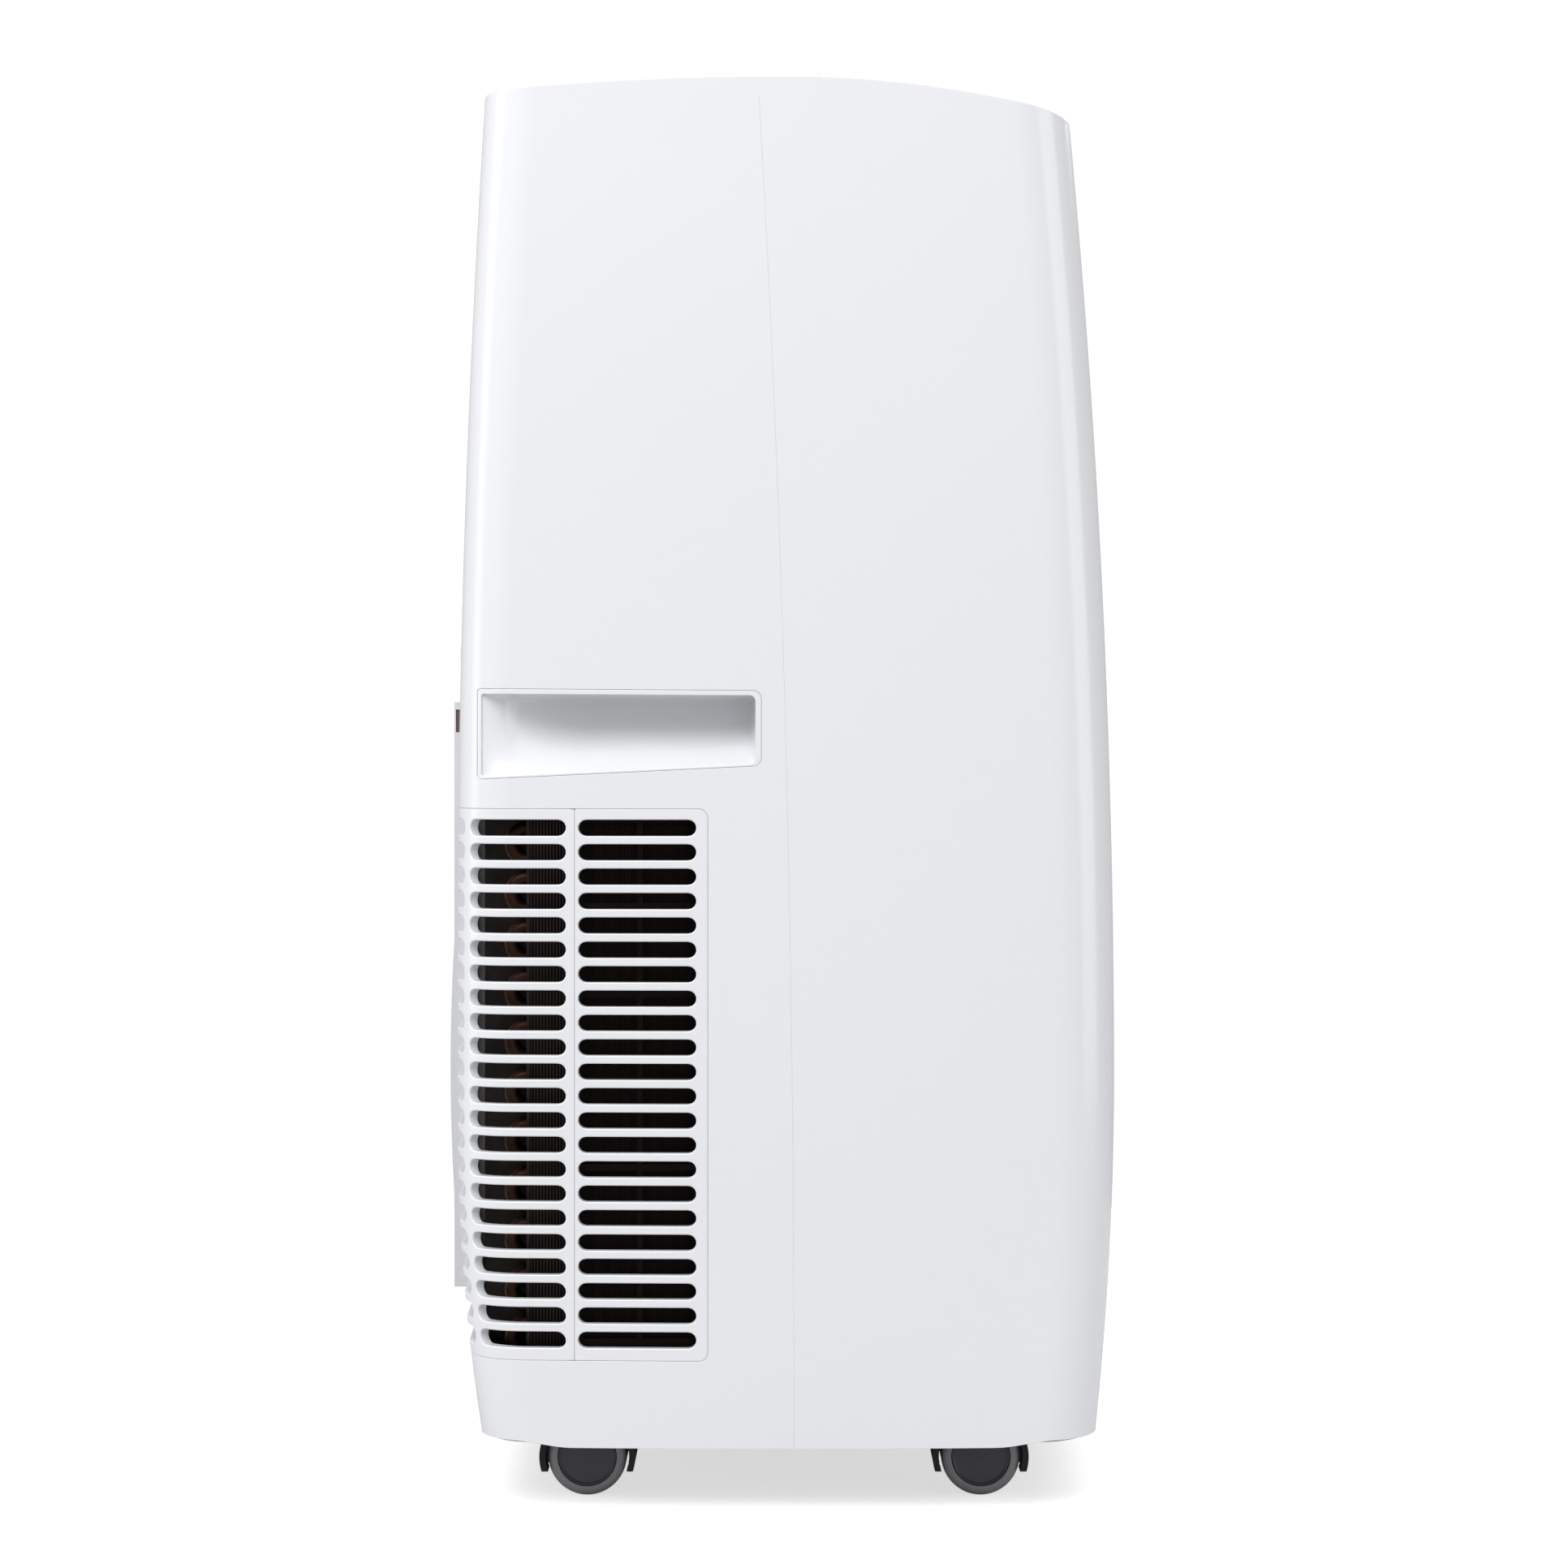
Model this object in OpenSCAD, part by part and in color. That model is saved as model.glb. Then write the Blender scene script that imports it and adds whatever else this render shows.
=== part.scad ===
// Portable air conditioner on four twin-wheel casters.
// Millimetres. +Z up, floor at z = 0, the front faces -Y, the rear faces +Y, the sides face +X and -X.

/* [Body] */
// Width across the side walls
body_w = 430; // [424:1:440]
// Height of the side walls' crest above the floor
crest_z = 716.3; // [714:0.1:720]
// Height of the side walls' bottom edge above the floor
skirt_z = 31.4; // [30:0.1:33]
// Wall thickness of the two shells
wall = 2.8; // [2.4:0.1:3]
// Gap left between pieces that are fitted edge to edge
gap = 0.4; // [0.3:0.05:0.5]
// Plan radius of the two front corners
front_corner_r = 34; // [32:1:36]
// Plan radius of the two rear corners
rear_corner_r = 30; // [28:1:31]

/* [Side and corner grilles] */
// Number of slot rows
slot_rows = 22; // [10:1:22]
// Height of one slot
slot_h = 8.1; // [7:0.1:8.5]
// Spacing of the slot rows
slot_pitch = 12.16; // [12:0.01:12.2]
// Height of the top row's centre
slot_top_z = 340.6; // [340:0.1:341]

/* [Exhaust] */
// Radius of the round exhaust port
port_r = 76; // [70:0.5:78]
// Height of the exhaust port's axis
port_z = 210; // [205:1:215]

/* [Casters] */
// Radius of a caster wheel
wheel_r = 20; // [19.5:0.1:20]
// Distance of each caster's wheels from the middle plane
caster_x = 160; // [158:1:162]
// Distance of each caster's wheel axle from the origin along Y
caster_y = 100; // [98:1:101]
// Distance from a wheel's axle to the swivel axis
trail = 9; // [8:0.5:10]

/* [Controls] */
// Radius of a push button
button_r = 6.3; // [5.5:0.1:6.5]
// Travel of a push button
button_travel = 1.5; // [1:0.1:1.5]

/* [Hidden] */
$fn = 72;

// --- side profile -------------------------------------------------------------------------------
front_max = 167.2;   // furthest reach of the front corners
rear_max = 165.5;    // furthest reach of the rear corners
front_waist = 210;   // height at which the front reaches furthest
rear_flat = [190, 270];
front_bulge = 10;    // extra reach of the front face at the middle plane
rear_bulge = 3;
side_slope = 3.4;    // angle that the crowned side wall has turned where a corner begins
front_face_half = 180;
rear_face_half = 184;
front_turn = 90 - atan(2 * front_bulge / front_face_half);
rear_turn = 90 - atan(2 * rear_bulge / rear_face_half);

function front_y(z) = front_max
    - (z > front_waist ? pow(z - front_waist, 2) / 10478 : pow(front_waist - z, 2) / 3336);
function rear_y(z) = rear_max
    - (z > rear_flat[1] ? pow(z - rear_flat[1], 2) / 13720
        : z < rear_flat[0] ? pow(rear_flat[0] - z, 2) / 1950 : 0);
function top_z(y) = crest_z - y * y / (2 * (y < 0 ? 561 : 1839));
function seam_y(z) = -5 + (z > 40 ? 16 * pow((z - 40) / 640, 2.2) : 0);

// --- plan section: a crowned, rounded rectangle, anticlockwise from the front's middle -------------
function corner_x(r) = body_w / 2 - r * cos(side_slope);
function front_cy(z) = -front_y(z) + front_corner_r * sin(front_turn);
function rear_cy(z) = rear_y(z) - rear_corner_r * sin(rear_turn);
function side_half(z) = (rear_cy(z) + rear_corner_r * sin(side_slope)
    - front_cy(z) + front_corner_r * sin(side_slope)) / 2;
function side_crown(z) = side_half(z) * tan(side_slope) / 2;

function right_half(z, t) =
    let (rf = front_corner_r - t, rr = rear_corner_r - t,
        crown = side_crown(z),
        cxf = corner_x(front_corner_r) - crown, cxr = corner_x(rear_corner_r) - crown,
        cyf = front_cy(z), cyr = rear_cy(z),
        xf = cxf + rf * cos(front_turn), yf = cyf - rf * sin(front_turn),
        xr = cxr + rr * cos(rear_turn), yr = cyr + rr * sin(rear_turn),
        y1 = cyf - rf * sin(side_slope), y2 = cyr + rr * sin(side_slope),
        mid = (y1 + y2) / 2, half = (y2 - y1) / 2)
    concat(
        [for (i = [0 : 4]) let (x = xf * i / 5) [x, yf - front_bulge * (1 - pow(x / xf, 2))]],
        [for (i = [0 : 7]) let (a = front_turn + (side_slope - front_turn) * i / 7)
            [cxf + rf * cos(a), cyf - rf * sin(a)]],
        [for (i = [1 : 5]) let (y = y1 + (y2 - y1) * i / 6)
            [body_w / 2 - t - crown * pow((y - mid) / half, 2), y]],
        [for (i = [0 : 7]) let (a = side_slope + (rear_turn - side_slope) * i / 7)
            [cxr + rr * cos(a), cyr + rr * sin(a)]],
        [for (i = [1 : 4]) let (x = xr * (1 - i / 4)) [x, yr + rear_bulge * (1 - pow(x / xr, 2))]]);
function section(z, t) =
    let (r = right_half(z, t), n = len(r))
    concat(r, [for (i = [n - 2 : -1 : 1]) [-r[i][0], r[i][1]]]);

levels = [skirt_z, 50, 74, 98, 125, 155, 190, 270, 330, 400, 470, 540, 610, 680, 745];

// The body's outer form, taken in by t all round, from height z0 to z1.
module body_form(t = 0, z0 = skirt_z, z1 = 745) {
    zs = concat([z0], [for (z = levels) if (z > z0 + 4 && z < z1 - 4) z], [z1]);
    n = len(section(100, 0));
    points = [for (z = zs) for (p = section(max(z, skirt_z), t)) [p[0], p[1], z]];
    faces = concat(
        [[for (i = [0 : n - 1]) i]],
        [for (k = [0 : len(zs) - 2]) for (i = [0 : n - 1]) let (a = k * n, j = (i + 1) % n)
            each [[a + i, a + n + i, a + n + j], [a + i, a + n + j, a + j]]],
        [[for (i = [n - 1 : -1 : 0]) (len(zs) - 1) * n + i]]);
    polyhedron(points = points, faces = faces, convexity = 6);
}

// --- small helpers ----------------------------------------------------------------------------------
module meshed() resize([0, 0, 0]) children();
module x_extrude(x0, x1) translate([x0, 0, 0]) rotate([90, 0, 90]) linear_extrude(x1 - x0) children();
module box(x, y, z) translate([x[0], y[0], z[0]]) cube([x[1] - x[0], y[1] - y[0], z[1] - z[0]]);
module cyl_x(x0, x1, r, y, z) translate([x0, y, z]) rotate([0, 90, 0]) cylinder(h = x1 - x0, r = r);
module cyl_y(y0, y1, r, x, z) translate([x, y0, z]) rotate([-90, 0, 0]) cylinder(h = y1 - y0, r = r);
module cyl_z(z0, z1, r, x, y) translate([x, y, z0]) cylinder(h = z1 - z0, r = r);
module both_sides() { children(); mirror([1, 0, 0]) children(); }

function unit(v) = v / norm(v);
// Points of the arc that rounds corner b between a and c.
function fillet(a, b, c, r, n) =
    let (u = unit(a - b), v = unit(c - b), half = acos(u * v) / 2,
        centre = b + unit(u + v) * r / sin(half),
        p = b + u * r / tan(half) - centre, q = b + v * r / tan(half) - centre,
        a0 = atan2(p[1], p[0]), turn = atan2(q[1], q[0]) - a0,
        d = turn > 180 ? turn - 360 : turn < -180 ? turn + 360 : turn)
    [for (i = [0 : n]) centre + r * [cos(a0 + d * i / n), sin(a0 + d * i / n)]];
function rounded(pts, r, n = 4) =
    [for (i = [0 : len(pts) - 1]) let (m = len(pts))
        each fillet(pts[(i + m - 1) % m], pts[i], pts[(i + 1) % m], r, n)];
function rectangle(a, b) = [[a[0], b[0]], [a[1], b[0]], [a[1], b[1]], [a[0], b[1]]];
function grown(pts, d) = // a convex outline moved out by d on every side
    [for (i = [0 : len(pts) - 1]) let (m = len(pts),
        u = unit(pts[i] - pts[(i + m - 1) % m]), v = unit(pts[(i + 1) % m] - pts[i]),
        nu = [u[1], -u[0]], nv = [v[1], -v[0]])
        pts[i] + d * (nu + nv) / (1 + nu * nv)];

// --- top --------------------------------------------------------------------------------------------
lid_front_y = -19.4;
lid_inset = 5;
lid_rise = 2.5;
module under_top(t = 0)
    x_extrude(-body_w, body_w) polygon(concat([[-200, 0]],
        [for (i = [0 : 20]) let (y = -200 + 20 * i) [y, top_z(y) - t]], [[200, 0]]));
module lid_outline(inset) intersection() {
    linear_extrude(800) polygon(section(crest_z, inset));
    box([-300, 300], [lid_front_y + inset - lid_inset, 300], [0, 800]);
}

// --- shells -----------------------------------------------------------------------------------------
grille_z = [75, 350];
grille_corner = 4.5;
panel_y = [38, 104.4];
frame_x = 105;
frame_z = [95, 404];
handle = [[11.3, 371.6], [153.6, 364.7], [153.6, 410], [11.3, 409]];
door_x = 150;
door_z = [424, 672];
outlet_x = 150;
outlet_z = [598, 672];
console_x = 105;
console_y = [-118, -38];
console_tilt = atan((top_z(console_y[1]) - top_z(console_y[0])) / (console_y[1] - console_y[0]));

module hollow_body() difference() {
    intersection() {
        body_form();
        under_top();
    }
    intersection() {
        body_form(wall, 10);
        under_top(wall);
    }
    lid_outline(lid_inset - gap);
}
module seam_region(rear) {
    far = rear ? 300 : -300;
    shift = rear ? gap / 2 : -gap / 2;
    x_extrude(-300, 300) polygon(concat([[far, 0]],
        [for (i = [0 : 19]) let (z = 40 * i) [seam_y(z) + shift, z]], [[far, 760]]));
}
module grille_window() x_extrude(-300, 300)
    polygon(rounded(rectangle([panel_y[0] - gap, 400], grille_z + [-gap, gap]), grille_corner + gap));

module rear_shell() color("white") meshed() difference() {
    union() {
        intersection() {
            hollow_body();
            seam_region(true);
        }
        both_sides() box([door_x + 0.9, door_x + 5], [door_pin[0] - 4.5, door_pin[0] + 5],
            [door_pin[1] - 5, door_pin[1] + 5]);
    }
    cyl_x(-door_x - 4, door_x + 4, door_pin_r + 0.3, door_pin[0], door_pin[1], $fn = 24);
    grille_window();
    box([-frame_x - gap, frame_x + gap], [100, 300], [frame_z[0] - gap, frame_z[1] + gap]);
    box([-door_x - gap, door_x + gap], [100, 300], [door_z[0] - gap, door_z[1] + gap]);
    x_extrude(-300, 300) polygon(rounded(grown(handle, gap), 4));
    cyl_y(100, 300, cap_r + 2 * gap, upper_drain[0], upper_drain[1]);
    cyl_y(100, 300, cap_r + 2 * gap, lower_drain[0], lower_drain[1]);
    cyl_y(100, 300, gland_r + gap, gland[0], gland[1]);
}
module front_shell() color("white") meshed() difference() {
    intersection() {
        hollow_body();
        seam_region(false);
    }
    box([-outlet_x - 2.5 - gap, outlet_x + 2.5 + gap], [-300, -100], outlet_z + [-gap, gap]);
    box([-console_x - gap, console_x + gap], console_y + [-gap, gap], [600, 800]);
}
module top_cover() color("white") meshed() intersection() {
    lid_outline(lid_inset);
    difference() {
        translate([0, 0, lid_rise]) under_top();
        translate([0, 0, lid_rise - 5.5]) under_top();
    }
}
module base_pan() color("dimgray") difference() {
    union() {
        difference() {
            translate([0, 0, skirt_z + 2]) linear_extrude(pan_z[1] - skirt_z - 2)
                polygon(section(skirt_z, wall + gap));
            translate([0, 0, 20]) linear_extrude(pan_z[0] - 20) polygon(section(skirt_z, wall + gap + 3.2));
        }
        for (p = stems) cyl_z(pan_z[1] - 2, pan_z[1] + 18, 9, p[0], p[1]);
        cyl_y(lower_mouth - 30, lower_mouth, spout_r, lower_drain[0], lower_drain[1]);
    }
    for (p = stems) cyl_z(20, stem_top + 1, stem_r + 0.05, p[0], p[1]);
    cyl_y(lower_mouth - 31, lower_mouth + 1, plug_r + 0.05, lower_drain[0], lower_drain[1]);
}

// --- hand holds ---------------------------------------------------------------------------------------
hold_depth = 30;
// One cross-section of the finger pocket at y: the roof is level, the floor runs out to the bottom edge.
function hold_share(y) = let (s = min(1, (152 - y) / 60)) 1 - pow(1 - s, 2.2);
function hold_ring(y, out) =
    let (share = hold_share(y), skin = body_w / 2 - 3, depth = max(0.6, hold_depth * share),
        floor_z = 371.2 - 6.4 * (y - 14) / 138, roof_z = 407.5,
        pocket_z = roof_z - 0.5 - 19 * share)
    [[skin + out, roof_z], [skin - depth, roof_z], [skin - depth, pocket_z],
        [skin - depth * 0.72, pocket_z - (pocket_z - floor_z) * 0.55],
        [skin - 1, floor_z + 2], [skin + out, floor_z]];
hold_stations = [14, 40, 70, 92, 105, 118, 130, 141, 149, 152];
module hold_pocket() {
    rings = [for (y = hold_stations) for (p = hold_ring(y, 12)) [p[0], y, p[1]]];
    polyhedron(points = rings, faces = concat(
        [[5, 4, 3, 2, 1, 0]],
        [for (k = [0 : len(hold_stations) - 2]) for (i = [0 : 5]) let (a = 6 * k, j = (i + 1) % 6)
            each [[a + i, a + 6 + j, a + 6 + i], [a + i, a + j, a + 6 + j]]],
        [[for (i = [0 : 5]) 6 * (len(hold_stations) - 1) + i]]), convexity = 4);
}
module handle_cup() color("white") meshed() difference() {
    intersection() {
        body_form();
        x_extrude(body_w / 2 - 3 - hold_depth - 2.5, 300) polygon(rounded(handle, 4));
    }
    hold_pocket();
}

// --- grilles and filters ------------------------------------------------------------------------------
bar_depth = 5;
slot_r = slot_h / 2;
slots_side = [43.7, 102.7];
slot_b_start = 108.8;
function row_z(i) = slot_top_z - slot_pitch * i;
function stadium(a, b, z, n = 4) = concat(
    [for (k = [0 : n]) let (t = 90 + 180 * k / n) [a + slot_r + slot_r * cos(t), z + slot_r * sin(t)]],
    [for (k = [0 : n]) let (t = -90 + 180 * k / n) [b - slot_r + slot_r * cos(t), z + slot_r * sin(t)]]);

module side_panel() color("white") meshed() difference() {
    intersection() {
        difference() {
            body_form(0, 60, 360);
            body_form(bar_depth, 50, 370);
        }
        x_extrude(100, 300) polygon(rounded(rectangle(panel_y, grille_z), grille_corner));
    }
    for (i = [0 : slot_rows - 1]) x_extrude(100, 300) polygon(stadium(slots_side[0], slots_side[1], row_z(i)));
}
module side_filter() color("dimgray") difference() {
    box([201.5, 205.5], [panel_y[0] + 2.4, panel_y[1] - 2.2], grille_z + [6, -6]);
    for (i = [0 : 5]) for (j = [0 : 1])
        box([200, 207], [43.6 + 30 * j, 70.6 + 30 * j], [85 + 43.6 * i, 125 + 43.6 * i]);
}
// The slots that turn the rear corner, in two columns. Angles are from the side towards the rear.
end_b = 48.4;    // where the column that starts on the side ends
start_c = 57.6;  // where the column that goes on along the rear begins
end_c_x = 112;
function arc(c, r, a0, a1, n = 8) = [for (i = [0 : n]) let (a = a0 + (a1 - a0) * i / n)
    c + r * [cos(a), sin(a)]];
module corner_slots(z) {
    c = [corner_x(rear_corner_r) - side_crown(z), rear_cy(z)];
    near = rear_corner_r - 12;
    far = rear_corner_r + 10;
    translate([0, 0, z - slot_r]) linear_extrude(slot_h) {
        polygon(concat([[c[0] + near, slot_b_start], [c[0] + far, slot_b_start]],
            arc(c, far, 0, end_b, 6), arc(c, near, end_b, 0, 6)));
        polygon(concat(arc(c, far, start_c, 90, 4), [[end_c_x, c[1] + far], [end_c_x, c[1] + near]],
            arc(c, near, 90, start_c, 4)));
    }
}
module rear_grille() color("white") meshed() difference() {
    intersection() {
        difference() {
            body_form(0, 60, 360);
            body_form(bar_depth, 50, 370);
        }
        box([-300, 300], [panel_y[1] + gap, 300], grille_z);
    }
    box([-frame_x - gap, frame_x + gap], [100, 300], [frame_z[0] - gap, 400]);
    both_sides() for (i = [0 : slot_rows - 1]) corner_slots(row_z(i));
}

// --- rear intake door and its filter ---------------------------------------------------------------
door_pin = [148.4, 666];
door_lean = atan((rear_y(door_z[0]) - rear_y(door_z[1])) / (door_z[1] - door_z[0]));
door_pin_r = 2;
door_skin = [1.6, 5.1];
module door_plane() translate([0, door_pin[0], door_pin[1]]) rotate([door_lean, 0, 0]) children();
module intake_door() color("white") {
    h = door_pin[1] - door_z[0] - 1;
    difference() {
        door_plane() {
            box([-door_x + 0.6, door_x - 0.6], door_skin, [-h, 4]);
            for (s = [-1, 1]) {
                box([s * 128 - 22, s * 128 + 22], [door_skin[1] - 0.1, door_skin[1] + 3.8], [-h, -h + 7]);
                box([s * 147 - 2, s * 147 + 2], [-2, door_skin[0] + 0.1], [-3, 3]);
            }
        }
        door_plane() for (i = [0 : 17]) for (j = [0 : 3])
            box([-140 + 71 * j, -73 + 71 * j], [-2, 10], [-h + 14 + 12.4 * i, -h + 22 + 12.4 * i]);
    }
    both_sides() cyl_x(door_x - 3, door_x + 3.5, door_pin_r, door_pin[0], door_pin[1]);
}
module intake_filter() color("dimgray") door_plane() difference() {
    box([-142, 142], [-3.4, 0.6], [-234, -6]);
    for (i = [0 : 4]) for (j = [0 : 4])
        box([-138 + 55.6 * j, -84.4 + 55.6 * j], [-6, 3], [-230 + 44.8 * i, -187.2 + 44.8 * i]);
}

// --- exhaust port, its rails and the flap over it ----------------------------------------------------
frame_y = [158, 174.2];
plate_y = [160, 164];
flap_pin = [170.6, 318];
flap_pin_r = 2;
screw_spots = [for (x = [-99, 99]) for (z = [116, 345]) [x, z]];
module exhaust_frame() color("white") difference() {
    box([-frame_x, frame_x], frame_y, frame_z);
    box([-frame_x + 12, frame_x - 12], [plate_y[1], 200], frame_z + [4, -16]);
    box([-frame_x + 12, frame_x - 12], [100, plate_y[0]], frame_z + [4, -16]);
    cyl_y(150, 180, port_r, 0, port_z);
    both_sides() cyl_x(frame_x - 13, frame_x - 5, flap_pin_r + 0.05, flap_pin[0], flap_pin[1]);
    for (p = screw_spots) {
        cyl_y(150, 180, 1.8, p[0], p[1]);
        cyl_y(frame_y[1] - 2, 180, 3.6, p[0], p[1]);
    }
    box([-frame_x - 1, frame_x + 1], [166, 173.3], [388, 400]);
    box([-60, 60], [163, 169], [388, 400]);
}
// A shallow bowed flap, hinged along its top edge.
flap_z = [99.5, 321];
module exhaust_cover() color("white") {
    mid = (flap_z[0] + flap_z[1]) / 2;
    half = (flap_z[1] - flap_z[0]) / 2 - 2;
    x_extrude(-frame_x + 13, frame_x - 13) polygon(concat(
        [for (i = [-8 : 8]) [177.4 - 5.2 * pow(i / 8, 2), mid + half * i / 8]],
        [[170.4, flap_z[1] - 1], [168.8, flap_z[1] - 2], [168.8, flap_z[1] - 5]],
        [for (i = [7 : -1 : -8]) [174.9 - 5.2 * pow(i / 8, 2), mid + half * i / 8]]));
    both_sides() cyl_x(frame_x - 13.5, frame_x - 6, flap_pin_r, flap_pin[0], flap_pin[1]);
}
module frame_insert() color("saddlebrown") difference() {
    box([-frame_x + 0.4, frame_x - 0.4], [166.3, 172.9], [388.4, 399.6]);
    box([-60, 60], [160, 169.3], [380, 410]);
}
module case_screws() color("silver") for (p = screw_spots) difference() {
    union() {
        cyl_y(frame_y[1] - 1.9, frame_y[1] - 0.2, 3.2, p[0], p[1]);
        cyl_y(frame_y[0] - 8, frame_y[1] - 1.8, 1.6, p[0], p[1]);
    }
    for (a = [0, 90]) translate([p[0], frame_y[1], p[1]]) rotate([0, a, 0])
        cube([3.6, 2.2, 0.9], center = true);
}

// --- drains and cord entry ----------------------------------------------------------------------------
cap_r = 9.5;
plug_r = 6;
spout_r = 9;
upper_drain = [152, 366.4];
upper_mouth = 161;
lower_drain = [-120, 62];
lower_mouth = 151;
gland = [150, 53];
gland_r = 9;
gland_y = [150.7, 164];
module drain_cap(p, y, head) color("dimgray") difference() {
    union() {
        cyl_y(y - 12, y + 1, plug_r, p[0], p[1]);
        cyl_y(y + 0.4, y + head, cap_r, p[0], p[1]);
    }
    for (s = [-1, 1]) box([p[0] + s * 7 - 3, p[0] + s * 7 + 3], [y + head - 3, y + head + 1],
        [p[1] + 5.5, p[1] + 12]);
}
module drain_cap_upper() drain_cap(upper_drain, upper_mouth, 6.5);
module drain_cap_lower() drain_cap(lower_drain, lower_mouth, 9.5);
module cord_gland() color("dimgray") difference() {
    union() {
        cyl_y(gland_y[0], gland_y[1], gland_r, gland[0], gland[1]);
        cyl_y(gland_y[0], gland_y[0] + 1.5, gland_r + 1.8, gland[0], gland[1]);
    }
    cyl_y(140, 170, 4.2, gland[0], gland[1]);
}

// --- front outlet ---------------------------------------------------------------------------------------
louvre_z = [612, 635, 658];
louvre_h = 22.4;
louvre_pin_r = 2;
vane_x = [-105, -35, 35, 105];
vane_y = -108;
vane_pin_r = 1.5;
function louvre_y(z) = -(front_y(z) - 8);
module outlet_frame() color("lightgray") difference() {
    intersection() {
        body_form(0, 580, 690);
        box([-outlet_x - 2.5, outlet_x + 2.5], [-200, -90], outlet_z);
    }
    box([-outlet_x, outlet_x], [-201, -80], outlet_z + [2.3, -2.3]);
    for (z = louvre_z) cyl_x(-200, 200, louvre_pin_r + 0.05, louvre_y(z), z);
    for (x = vane_x) cyl_z(500, 700, vane_pin_r + 0.05, x, vane_y);
}
module louvre(z) color("white") translate([0, louvre_y(z), z]) rotate([-4.6, 0, 0]) {
    x_extrude(-outlet_x + 1, outlet_x - 1) polygon([for (k = [0 : 15]) let (a = 22.5 * k)
        [1.5 * sin(a), louvre_h / 2 * cos(a)]]);
    cyl_x(-outlet_x - 2, outlet_x + 2, louvre_pin_r, 0, 0);
}
module vane(x) color("white") {
    box([x - 1, x + 1], [vane_y - 14, vane_y + 14], [604, 666]);
    cyl_z(outlet_z[0] + 0.3, outlet_z[1] - 0.3, vane_pin_r, x, vane_y);
}

// --- control panel ------------------------------------------------------------------------------------
button_x = [-84, -62, -40, 40, 62, 84];
module on_console() translate([0, console_y[0], top_z(console_y[0])]) rotate([console_tilt, 0, 0]) children();
console_len = (console_y[1] - console_y[0]) / cos(console_tilt);
console_mid = console_len / 2;
module control_panel() color("black") on_console() difference() {
    box([-console_x, console_x], [0.2, console_len - 0.2], [-2.4, 0.6]);
    for (x = button_x) cyl_z(-5, 5, button_r + 0.35, x, console_mid);
    box([-27, 27], [console_mid - 12, console_mid + 12], [-1, 2]);
}
module display_window() color("darkslategray") on_console()
    box([-26.8, 26.8], [console_mid - 11.8, console_mid + 11.8], [-0.9, 0.7]);
module button(x) color("gainsboro") on_console() {
    cyl_z(-6, 1.9, button_r, x, console_mid);
    cyl_z(-6, -2.7 - button_travel, button_r + 1.6, x, console_mid);
}
module control_board() color("darkgreen") on_console() box([-98, 98], [8, console_len - 8], [-12, -10.4]);

// --- inner parts ----------------------------------------------------------------------------------------
pan_z = [52, 60];
tray_z = 356;
coil_x = [172, 196];
coil_y = [22, 128];
coil_z = [70, 344];
evap_x = 148;
evap_y = [100, 128];
evap_z = [386, 654];
tube_r = 3.5;
bend_r = 8;
port_y = 45;
blower_z = 480;
module divider_tray() color("gainsboro") difference() {
    union() {
        box([-178, 178], [-140, 140], [tray_z, tray_z + 4]);
        difference() {
            box([-178, 178], [92, 140], [tray_z, tray_z + 20]);
            box([-175, 175], [95, 137], [tray_z + 4, tray_z + 30]);
        }
        cyl_y(138, upper_mouth, spout_r, upper_drain[0], upper_drain[1]);
    }
    cyl_y(130, upper_mouth + 1, plug_r + 0.05, upper_drain[0], upper_drain[1]);
    for (x = [-90, -70]) cyl_z(340, 370, 7, x, -20);
}
module evaporator_fins() color("silver") box([-evap_x, evap_x], evap_y, evap_z);
module condenser_fins() color("silver") both_sides() box(coil_x, coil_y, coil_z);
module coil_end_plates() color("lightgray") {
    both_sides() {
        for (y = [coil_y[0] - 1.5, coil_y[1]]) box(coil_x + [-1, 1], [y, y + 1.5], coil_z + [-4, 4]);
        box([coil_x[0] - 12, coil_x[0]], [coil_y[1], coil_y[1] + 1.5], coil_z + [-4, 4]);
        box([coil_x[0] - 12, coil_x[0] - 10.5], [coil_y[1], coil_y[1] + 25], coil_z + [-4, 4]);
        box([evap_x, evap_x + 1.5], evap_y + [-1, 1], evap_z + [-4, 4]);
    }
}
module bend_pair(n, z0, pitch) for (i = [0 : n - 1]) translate([0, 0, z0 + pitch * i])
    rotate([0, 90, 0]) rotate_extrude(angle = 180, $fn = 16) translate([bend_r, 0]) circle(r = tube_r, $fn = 16);
module coil_tubes() color("sienna") {
    both_sides() {
        for (x = coil_x + [6.5, -6.5]) translate([x, coil_y[1] + 1.5, 0]) bend_pair(11, 82, 25);
        for (y = evap_y + [7, -7]) translate([evap_x + 1.5, y, 0]) rotate([0, 0, -90]) bend_pair(10, 405, 25);
    }
}
// A squirrel-cage wheel about +Z, its back disc at z = 0.
module cage_wheel(r, depth, blades, bore) {
    difference() {
        cylinder(h = 2.5, r = r);
        translate([0, 0, -1]) cylinder(h = 5, r = bore);
    }
    difference() {
        cylinder(h = 22, r = 14);
        translate([0, 0, -1]) cylinder(h = 30, r = bore);
    }
    translate([0, 0, depth - 4]) difference() {
        cylinder(h = 4, r = r);
        translate([0, 0, -1]) cylinder(h = 6, r = r - 13);
    }
    for (k = [0 : blades - 1]) rotate([0, 0, 360 * k / blades]) translate([r - 12, 0, 1]) rotate([0, 0, 22])
        cube([10, 1.2, depth - 3]);
}
shaft_r = 4;
module blower_wheel() color("dimgray") translate([0, 18, blower_z]) rotate([-90, 0, 0])
    cage_wheel(84, 56, 32, shaft_r + 0.05);
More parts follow.
